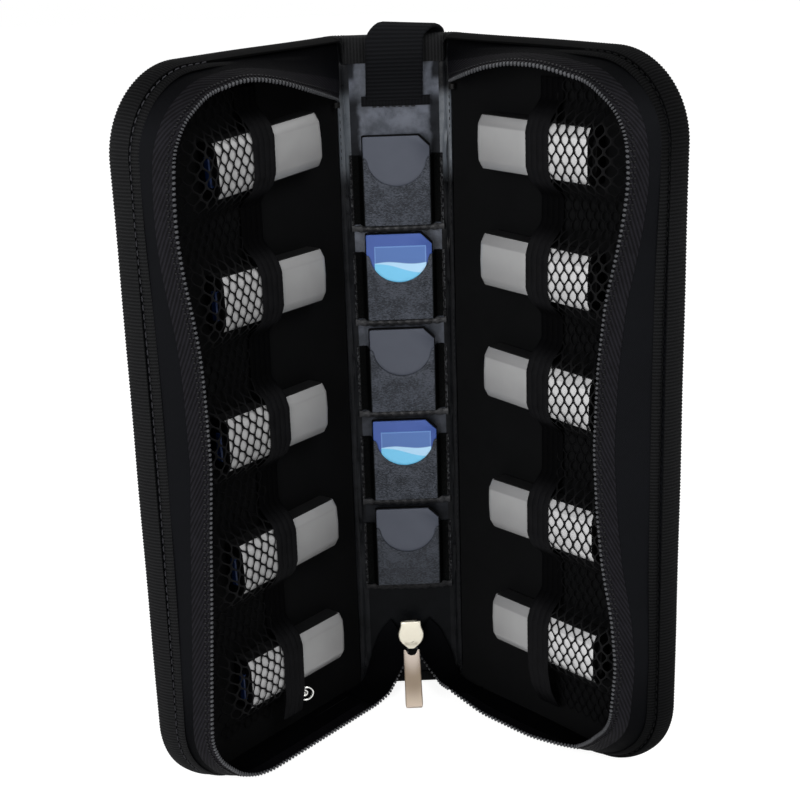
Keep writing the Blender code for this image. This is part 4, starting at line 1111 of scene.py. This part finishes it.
SPINE_TAPE_TOP = ((9.4, 2.32), (6.5, 2.36), (3.2, 2.36), (1.2, 2.25), (0.45, 1.6), (0.2, 0.3),
                  (0.35, -1.4), (0.9, -2.6), (2.4, -3.15), (5.0, -3.35), (7.5, -3.38), (9.5, -3.36))
SPINE_TAPE_FOOT = ((4.9, 2.32), (3.6, 2.36), (2.2, 2.36), (1.0, 2.2), (0.45, 1.6), (0.2, 0.3),
                   (0.35, -1.4), (0.8, -2.6), (1.6, -3.1), (2.8, -3.3), (4.0, -3.34), (5.0, -3.34))


def spine_tape(name, line, top):
    """Ribbed tape wrapped over one end of the spine."""
    at, ribs = rib_stations(2 * SPINE_HALF)
    profile, lift = ring_profile(line, 0.58)
    section = profile[None] - lift[None] * ribs[:, None, None]
    level = HEIGHT - section[..., 0] if top else section[..., 0]
    rows = xyz((at - SPINE_HALF)[:, None], section[..., 1], level)
    end = "top" if top else "foot"
    shape = Shape().rings(rows, ribs=True)
    shape.ride("spine", name, "spine_tape", "edge_tape", f"spine_tape_{end}", sharp=60)


def make_fold_tape(side, top):
    """Ribbed tape that carries on from the spine's end to a wing's rim."""
    total = 3.2 + 4.9
    at, ribs = rib_stations(total, 0.98)
    q = at - 3.2
    share = rise_share(at / total)
    here = np.array(SPINE_TAPE_TOP if top else SPINE_TAPE_FOOT)
    here = np.stack((here[:, 0], -here[:, 1]), -1)
    there = np.array(TAPE_LINE)
    rows = []
    for place, rib, part in zip(q, ribs, share):
        profile, lift = ring_profile(here + (there - here) * part, 0.6)
        profile = profile + lift * rib
        level = HEIGHT - profile[:, 0] if top else profile[:, 0]
        rows.append(on_bend(side, place, profile[:, 1], level))
    end = "top" if top else "foot"
    Shape().rings(rows, ribs=True).fold(side, f"fold_tape_{end}", "spine_tape", "edge_tape", sharp=60)


def make_folds(side):
    """Glossy fold inside the hinge and the nylon that crosses it outside."""
    z = np.linspace(0.9, HEIGHT - 0.9, 240)
    q = np.linspace(-4.2, 3.4, 22)
    share = (q + 4.2) / 7.6
    end = (rise_share((HEIGHT - 7.5 - z) / 4) * rise_share((z - 5.5) / 4))[:, None]
    ridge = 1.25 * np.sin(share * math.pi) ** 1.4
    wrinkle = (0.42 * ripple(q[None] / 2.2, z[:, None] / 4.5, 71 + SIDES[side])
               * np.sin(share * math.pi)[None])
    rise = 2.45 + (0.5 + ridge[None] + wrinkle) * end
    face = on_bend(side, q[None], rise, z[:, None])
    inner = Shape().sheet(face, 0.55 * SIDES[side])
    inner.fold(side, "fold_inside", f"fold_skin_{side}", "fold_skin", "hinge_fold")
    q = np.linspace(-5.5, 5.5, 24)
    face = on_bend(side, q[None], -2.02 + 0 * z[:, None], z[:, None])
    outer = Shape().sheet(face, -0.4 * SIDES[side])
    outer.fold(side, "fold_outside", "cover_nylon", "nylon")
    sewn = Shape()
    path = on_bend(side, 2.7 + 0 * z, 3.05, z)
    stitches(sewn, path, on_bend(side, 2.7 + 0 * z, 4.05, z) - path, 2.6, 1.5, 0.2)
    sewn.fold(side, "fold_stitches", "thread", "nylon")


def lean_points(x, base, up, out):
    """Points on a card's tilted plane."""
    return xyz(x, -CARD_BACK - up * math.sin(CARD_LEAN) - out * math.cos(CARD_LEAN),
               base + up * math.cos(CARD_LEAN) - out * math.sin(CARD_LEAN))


def pocket_face(base, seed):
    """Front of a pocket strip: flat beside the pocket, proud over the card."""
    x = np.unique(np.concatenate((np.linspace(-STRIP_HALF, -13.9, 5), np.linspace(-13.7, -12.3, 8),
                                  np.linspace(-12.3, 12.3, 49), np.linspace(12.3, 13.7, 8),
                                  np.linspace(13.9, STRIP_HALF, 5))))
    notch = np.sqrt(np.maximum(NOTCH ** 2 - x ** 2, 0))
    top = np.where(np.abs(x) < NOTCH, POCKET_TOP - notch, POCKET_TOP)
    top = top - 0.4 * np.exp(-((np.abs(x) - NOTCH) / 0.8) ** 2)
    share = np.linspace(0, 1, 26)[:, None]
    up = -1.0 + share * (top + 1.0)[None]
    proud = rise_share((13.75 - np.abs(x)) / 1.5)[None]
    seam = 0.45 * rise_share((np.abs(x) - 15.0) / 1.2) * (0.6 + 0.4 * np.cos(base + up * TURN / 3.7))
    crown = (1 - (x / POCKET_HALF) ** 2).clip(0)[None]
    puff = 0.25 * np.sin(np.clip(up / POCKET_TOP, 0, 1) * math.pi) * crown
    out = 2.75 + puff + 0.07 * ripple(x[None] / 4, up / 5, seed)
    high = lean_points(x[None], base, up, out)
    flat = xyz(x[None], -3.25 - seam, base + up * math.cos(CARD_LEAN))
    return flat + (high - flat) * proud[..., None]


def make_pocket(row, base):
    """Card pocket with its notch, rolled hem and seams."""
    shape = Shape().sheet(pocket_face(base, 80 + row), 0.55)
    x = np.linspace(-STRIP_HALF, STRIP_HALF, 70)
    around = circle(10)
    lump = 1 + 0.16 * np.cos(x * TURN / 3.4) + 0.1 * ripple(x / 2, 0 * x, 90 + row)
    droop = 0.5 * (x / STRIP_HALF) ** 2
    hem = xyz(
        x[:, None], -3.65 - 0.70 * around[:, 0] * lump[:, None],
        (base - 2.9 + droop)[:, None] + 1.20 * around[:, 1] * lump[:, None])
    shape.ride("spine", f"pocket_sheet_{row}", "pocket_skin", "lining_skin", f"card_pocket_{row}")
    Shape().rings(hem).ride("spine", f"pocket_hem_{row}", "hem_skin", "lining_skin")
    sewn = Shape()
    z = np.linspace(base - 3.0, base + 24.0, 40)
    for x_at in (-16.1, 16.1):
        path = xyz(x_at, -3.62, z)
        stitches(sewn, path, OUTWARD, 3.7, 2.2, 0.26)
    path = xyz(x[5:-5], -4.35, base - 2.9)
    stitches(sewn, path, OUTWARD, 3.2, 2.1, 0.2)
    sewn.ride("spine", f"pocket_stitches_{row}", "thread", "lining_skin")


def card_edge(inset):
    """Outline of a card inside its edge by an inset, with rounded corners."""
    half, high, cut = CARD_HALF - inset, CARD_HEIGHT - inset, CARD_CUT + inset * 0.4
    low, r = inset, 0.8
    points = [(-half + r, low), (0, low), (half - r, low), (half - 0.2 * r, low + 0.2 * r),
              (half, low + r), (half, high / 2), (half, high - cut), (half - cut, high),
              (half / 3, high), (0, high), (r - half, high), (0.2 * r - half, high - 0.2 * r),
              (-half, high - r), (-half, high / 2), (-half, low + r),
              (0.2 * r - half, low + 0.2 * r)]
    return np.array(points)


def make_card(row, base):
    """Memory card with a bevelled edge and its label field, and a black rim behind its edge as painted
    shadow.
    """
    body, node = f"card_{row}", f"memory_card_{row}"
    colour = "blue" if row in (2, 4) else "grey"
    shell = ((0.25, 0.35), (0.5, 0.05), (1.3, 0.0), (CARD_THICK - 0.3, 0.0), (CARD_THICK - 0.05, 0.28))
    # black rim just outside the card's edge, behind its face: painted shadow where the card stands off
    # the lining
    back = tuple((out, -0.38) for out in (0.15, 0.3, 1.1, 1.2))
    shapes = [Shape().rings([lean_points(edge[:, 0], base, edge[:, 1], out)
                             for out, edge in ((out, card_edge(inset)) for out, inset in levels)])
              for levels in (shell, back)]
    shapes[0].ride(body, f"card_shell_{row}", f"card_{colour}", f"card_{colour}", node, sharp=30)
    shapes[1].ride(body, f"card_shadow_rim_{row}", "drive_end", f"card_{colour}", sharp=30)
    if colour == "blue":
        make_label(row, base, body)


def make_label(row, base, body):
    """Thin label on the face of a card."""
    up, x = np.linspace(27.6, 6.0, 16), np.linspace(0, LABEL_LONG, 16)[:, None] - 9.1
    faces = (lean_points(x, base, up, CARD_THICK + out) for out in (0.06, -0.12))
    shape = Shape().rings(closed(*faces))
    shape.ride(body, f"card_field_{row}", "card_label", "card_blue")


def loop_line():
    """Middle line of the carry strap in (y, z), from inside to outside."""
    front, back = -LINING_FACE - 0.3 - LOOP_THICK / 2, 2.0 + LOOP_THICK / 2
    rest, middle, radius = HEIGHT - 6.5, -0.65, 5.85
    points = [(front, 234.0), (front - 0.1, 236.5), (front - 0.6, 240.0), (-5.4, 244.5), (-6.2, 248.0)]
    for angle in np.linspace(math.pi, 0, 13):
        points.append((middle + radius * math.cos(angle), rest + (259.9 - rest) * math.sin(angle)))
    points += [(5.0, 248.0), (4.2, 243.0), (back + 0.3, 239.0), (back, 236.5), (back, 234.0)]
    return np.array(points)


def make_loop():
    """Ribbed webbing strap over the upper end, a little skewed."""
    line = loop_line()
    run = lengths(line, 0)
    at, ribs = rib_stations(run[-1], 1.40)
    y, z = (smoothed(values, 15) for values in along_line(at, run, line).T)
    out = outward(np.stack((y, z), -1))
    x = np.array((-1, -0.97, -0.9, -0.45, 0, 0.45, 0.9, 0.97, 1)) * LOOP_HALF
    thin = np.array((0.35, 0.8, 1, 1, 1, 1, 1, 0.8, 0.35)) * LOOP_THICK / 2
    part = at / at[-1]
    arc = np.clip((part - 0.36) / 0.30, 0, 1)
    shift = LOOP_SKEW * (0.06 * np.clip(part / 0.36, 0, 1) + 0.94 * rise_share(arc / 0.8))
    tilt = -0.06 * np.sin(math.pi * arc)[:, None] * x[None]
    lift = thin[None] + ribs[:, None] * 0.8 * np.where(np.abs(x) < 9.5, 1, 0.3)[None]
    rows = [xyz(x[None] + shift[:, None], y[:, None] + out[:, :1] * depth,
                z[:, None] + tilt + out[:, 1:] * depth) for depth in (lift, -lift)]
    shape = Shape().rings(closed(*rows), ribs=True)
    shape.ride("spine", "loop_webbing", "webbing", "webbing", "carry_loop", sharp=60)
    band = []
    for x_at in np.linspace(-11.8, 12.9, 26):
        thick = 0.5 + 0.06 * math.cos(x_at * 2.1)
        band.append([(x_at, -3.55 - a * thick, 233.5 + b * 1.75) for a, b in
                     ((-0.6, -1.0), (0.7, -1.0), (1.0, -0.6), (1.0, 0.6), (0.7, 1.0), (-0.6, 1.0))])
    Shape().rings(band).ride("spine", "loop_sewn_band", "webbing", "webbing")
    sewn = Shape()
    for x_off, y_at, way_out in ((0.2, -4.45, -1.0), (LOOP_SKEW, 3.45, 1.0)):
        path = xyz(np.linspace(-9.3, 9.3, 12) + x_off, y_at, 231.6)
        stitches(sewn, path, (0.0, way_out, 0.0), 2.3, 1.6, 0.22)
    sewn.ride("spine", "loop_stitches", "thread", "webbing")


# ---------------------------------------------------------------- zip at the foot

SHIELD = ((0.0, 0.5), (0.40, 0.5), (0.76, 0.49), (0.79, 0.42), (0.82, 0.32), (0.92, 0.20), (1.0, 0.08),
          (0.99, -0.03), (0.91, -0.16), (0.73, -0.28), (0.49, -0.375), (0.20, -0.475))


def shield(share):
    """Outline of a slider plate about its middle."""
    right = np.array(SHIELD)
    both = np.concatenate((right, (right * (-1, 1))[::-1][:-1]))
    return both * (5.0 * share, 12.0 * share)


def make_slider():
    """Slider: two plates joined by a neck, with a low lug for the pull."""
    levels = ((3.05, 0.58), (3.25, 0.63), (4.0, 0.63), (4.2, 0.60), (4.2, 0.30), (8.0, 0.30),
              (8.0, 0.95), (8.15, 0.99), (8.5, 1.0), (9.2, 1.0), (9.42, 0.97), (9.52, 0.92),
              (9.55, 0.5))
    shape = Shape().rings([xyz(edge[:, 0], -out, SLIDER_Z + edge[:, 1])
                           for out, edge in ((out, shield(share)) for out, share in levels)])
    cosine, sine = circle(8).T
    arch = np.linspace(0, math.pi, 9)[:, None]
    shape.rings(xyz(0.9 * cosine, -8.3 - 0.5 * np.sin(arch) - 0.25 * sine * np.sin(arch),
                    19.9 + 1.1 * np.cos(arch) * (1 + 0.25 * sine)))
    shape.ride("slider", "slider_body", "champagne", "zip_metal", "zip_slider", sharp=35)


def pull_place(x, down, out):
    """Points of the pull from its pin."""
    sine, cosine = math.sin(PULL_FORWARD), math.cos(PULL_FORWARD)
    return xyz(x, -PIN_OUT - down * sine - out * cosine, PIN_Z - down * cosine + out * sine)


def make_pull():
    """Flat tab with a half-round mouth round the lug."""
    x = np.linspace(-1, 1, 25)
    half, mouth = 3.4, 2.3
    down = np.concatenate(([0.0, 0.03, 0.07, 0.12], np.linspace(0.2, 0.9, 12), [0.95, 0.98, 1.0]))
    deep = np.sqrt(np.maximum(mouth ** 2 - (x * half) ** 2, 0))
    start = np.where(np.abs(x) * half < mouth, 1.3 + deep, 1.0)
    start = np.convolve(np.pad(start, 1, mode="edge"), (0.2, 0.6, 0.2), mode="valid")
    wide = half * (0.93 + 0.07 * down) * (1 - 0.10 * np.clip((down - 0.93) / 0.07, 0, 1) ** 2)
    run = start[None] + down[:, None] * (PULL_LONG - start)[None]
    bend = 0.35 * np.sin(np.clip(run / PULL_LONG, 0, 1) * math.pi)
    edge = 1 - np.clip((np.abs(x) - 0.88) / 0.12, 0, 1)[None] ** 2 * 0.55
    faces = [pull_place(x[None] * wide[:, None], run, bend + sign * 0.58 * edge) for sign in (1, -1)]
    shape = Shape().rings(closed(*faces))
    shape.ride("pull", "pull_tab", "pull_metal", "zip_metal", "zip_pull", sharp=40)


def zip_line(side, count):
    """Line of the zip from the slider to the wall's lower end."""
    end = wall_points(side, np.array(WALL_TOTAL), wall_frame(side, WALL_TOTAL)[0] - 1.0, 0.1)
    points = {
        "left": ((-1.6, -6.2, 20.2), (-1.9, -6.4, 14.5), (-3.6, -6.6, 9.8), (-5.3, -7.6, 6.8),
                 (-7.4, -10.5, 4.2), (-9.8, -16.0, 2.6)),
        "right": ((1.6, -6.2, 20.2), (3.4, -6.4, 14.3), (7.2, -7.6, 8.5), (9.6, -9.5, 5.6),
                  (11.3, -14.0, 4.9))}[side]
    return smooth_line(np.array((*points, end)), count)


def foot_line(side, count):
    """Sewn edge of the cloth corner: down the spine's side and out along the wing's foot."""
    sign = SIDES[side]
    end = wall_points(side, np.array(WALL_TOTAL), 0.0, 0.0)
    points = np.array(((sign * 7.5, -3.4, 28.6), (sign * 12.0, -3.5, 24.0), (sign * 15.6, -3.7, 15.0),
                       on_bend(side, -1.8, 3.7, 6.0), on_bend(side, 3.0, 3.8, 2.4), end))
    return smooth_line(points, count)


def smooth_line(points, count):
    """Rounded line through a few points."""
    run = lengths(points, 0)
    at = np.linspace(0, run[-1], count)
    line = along_line(at, run, points)
    for _ in range(count // 4):
        line[1:-1] = (line[:-2] + 2 * line[1:-1] + line[2:]) / 4
    return line


def make_corner(side):
    """Cloth corner from the spine's foot to the wing, with its zip tape and first teeth."""
    count = 44
    inner, outer = foot_line(side, count), zip_line(side, count)
    share = np.linspace(0, 1, 14)[:, None]
    sag = np.sin(share * math.pi)[None] * np.sin(np.linspace(0, 1, count) * math.pi)[:, None, None]
    rows = inner[:, None] + (outer - inner)[:, None] * share[None]
    rows = rows + sag * np.array((0.0, 1.3, -0.2))
    across = wall_frame(side, WALL_TOTAL)[0] - 1.0
    ends = [wall_points(side, np.array(WALL_TOTAL - back), across * share[:, 0], 0.35 - 0.3 * back)
            for back in (0.0, 0.8, 2.4)]
    ease = (np.linspace(0, 1, count) ** 3)[:, None, None]
    rows = np.concatenate((rows + (ends[0] - rows[-1])[None] * ease, ends[1:]))
    cloth = Shape().sheet(rows, -0.6 * SIDES[side])
    span = 6.5
    cloth.fold(side, "corner_cloth", "nylon", "nylon", "zip_corner", spread=span)
    fine = 160
    line = zip_line(side, fine)
    run = lengths(line, 0)
    form, shape = tooth_form(), Shape()
    aside = inner[np.linspace(0, count - 1, fine).astype(int)] - line
    for at in np.arange(3.0, run[-1] - 0.8, TOOTH_PITCH):
        middle, after = along_line(np.array((at, at + 0.5)), run, line)
        way = (after - middle) / np.linalg.norm(after - middle)
        into = along_line(at, run, aside)
        into -= way * (into @ way)
        into /= np.linalg.norm(into)
        up = np.cross(way, into)
        shape.rings(middle + form[..., :1] * way - form[..., 1:2] * into * 0.85 + form[..., 2:] * up)
    shape.fold(side, "corner_teeth", "zip_teeth", "zip_teeth", "zip_tail_teeth", spread=span)


# ---------------------------------------------------------------- light and camera

CAMERA_AT = (-0.010961, -0.583472, 0.314313)
CAMERA_DOWN, CAMERA_YAW, CAMERA_ROLL = (math.radians(v) for v in (18.474, 0.951, -1.828))
FOCAL_PIXELS, FRAME_PIXELS, SENSOR = 1608.759, 800.0, 36.0


def make_camera():
    """Camera at the photograph's place."""
    ahead = Vector((math.sin(CAMERA_YAW) * math.cos(CAMERA_DOWN),
                    math.cos(CAMERA_YAW) * math.cos(CAMERA_DOWN), -math.sin(CAMERA_DOWN)))
    right = Vector((math.cos(CAMERA_YAW), -math.sin(CAMERA_YAW), 0.0))
    up = right.cross(ahead)
    turned = right * math.cos(CAMERA_ROLL) + up * math.sin(CAMERA_ROLL)
    raised = up * math.cos(CAMERA_ROLL) - right * math.sin(CAMERA_ROLL)
    data = bpy.data.cameras.new("camera")
    data.sensor_width = SENSOR
    data.lens = FOCAL_PIXELS * SENSOR / FRAME_PIXELS
    data.clip_start, data.clip_end = 0.01, 20.0
    made = bpy.data.objects.new("camera", data)
    bpy.context.scene.collection.objects.link(made)
    turn = Matrix((turned, raised, -ahead)).transposed()
    made.matrix_world = Matrix.Translation(CAMERA_AT) @ turn.to_4x4()
    bpy.context.scene.camera = made


def seen_share(tree):
    """1 for camera, glossy and transmission rays, else 0."""
    path = tree.nodes.new("ShaderNodeLightPath")
    total = path.outputs["Is Camera Ray"]
    for name in ("Is Glossy Ray", "Is Transmission Ray"):
        add = tree.nodes.new("ShaderNodeMath")
        add.operation = "MAXIMUM"
        tree.links.new(total, add.inputs[0])
        tree.links.new(path.outputs[name], add.inputs[1])
        total = add.outputs[0]
    return total


def make_world():
    """White surroundings that light the object softly."""
    world = bpy.data.worlds.new("studio")
    bpy.context.scene.world = world
    world.use_nodes = True
    tree = world.node_tree
    back = tree.nodes["Background"]
    back.inputs["Color"].default_value = (1.0, 1.0, 1.0, 1.0)
    level = tree.nodes.new("ShaderNodeMapRange")
    level.inputs["To Min"].default_value = 0.38
    level.inputs["To Max"].default_value = 1.0
    tree.links.new(seen_share(tree), level.inputs["Value"])
    tree.links.new(level.outputs[0], back.inputs["Strength"])


def make_floor():
    """Pale floor that stays white to the camera but keeps the shadow."""
    mesh = bpy.data.meshes.new("floor")
    size, low = 3.0, -0.0004
    mesh.from_pydata([(-size, -size, low), (size, -size, low), (size, size, low), (-size, size, low)],
                     [], [(0, 1, 2, 3)])
    floor = bpy.data.objects.new("floor", mesh)
    bpy.context.scene.collection.objects.link(floor)
    look = bpy.data.materials.new("floor")
    look.use_nodes = True
    tree = look.node_tree
    tree.nodes.remove(tree.nodes["Principled BSDF"])
    diffuse = tree.nodes.new("ShaderNodeBsdfDiffuse")
    diffuse.inputs["Color"].default_value = (0.8, 0.8, 0.8, 1.0)
    glow = tree.nodes.new("ShaderNodeEmission")
    glow.inputs["Strength"].default_value = 0.90
    soft = tree.nodes.new("ShaderNodeBsdfDiffuse")
    soft.inputs["Color"].default_value = (0.34, 0.34, 0.34, 1.0)
    both = tree.nodes.new("ShaderNodeAddShader")
    tree.links.new(glow.outputs[0], both.inputs[0])
    tree.links.new(soft.outputs[0], both.inputs[1])
    pick = tree.nodes.new("ShaderNodeMixShader")
    tree.links.new(seen_share(tree), pick.inputs[0])
    tree.links.new(diffuse.outputs[0], pick.inputs[1])
    tree.links.new(both.outputs[0], pick.inputs[2])
    tree.links.new(pick.outputs[0], tree.nodes["Material Output"].inputs["Surface"])
    mesh.materials.append(look)


def make_lamp(name, place, target, size, power):
    """Square soft lamp that looks at a target."""
    data = bpy.data.lights.new(name, "AREA")
    data.size, data.energy = size, power
    made = bpy.data.objects.new(name, data)
    bpy.context.scene.collection.objects.link(made)
    made.location = place
    made.rotation_euler = (Vector(target) - Vector(place)).to_track_quat("-Z", "Y").to_euler()


def make_lights():
    """Soft light from above and both sides of the camera."""
    middle = (0.0, -0.03, 0.13)
    make_lamp("key_lamp", (-0.45, -0.75, 0.38), middle, 0.5, 5.7)
    make_lamp("fill_lamp", (0.30, -0.34, 0.58), middle, 0.35, 1.5)
    make_lamp("top_lamp", (0.0, 0.10, 0.85), middle, 0.6, 1.5)


def make_wing(side):
    """Every piece that rides on one wing."""
    make_cover(side)
    make_edge_tape(side)
    make_side_wall(side)
    make_teeth(side)
    make_stop(side)
    make_elastic(side)
    make_net(side)
    for row in range(1, 6):
        make_drive(side, row)
    make_folds(side)
    for top in (True, False):
        make_fold_tape(side, top)
    make_corner(side)


def build():
    """The whole wallet and its stage."""
    make_camera()
    make_spine_board()
    make_spine_lining()
    spine_tape("spine_tape_upper", SPINE_TAPE_TOP, True)
    spine_tape("spine_tape_lower", SPINE_TAPE_FOOT, False)
    for row, base in enumerate(CARD_BASES, 1):
        make_pocket(row, base)
        make_card(row, base)
    make_loop()
    make_slider()
    make_pull()
    for side in SIDES:
        make_wing(side)
    make_eyelet()
    make_world()
    make_floor()
    make_lights()
    bpy.context.scene.view_settings.view_transform = "Standard"


build()
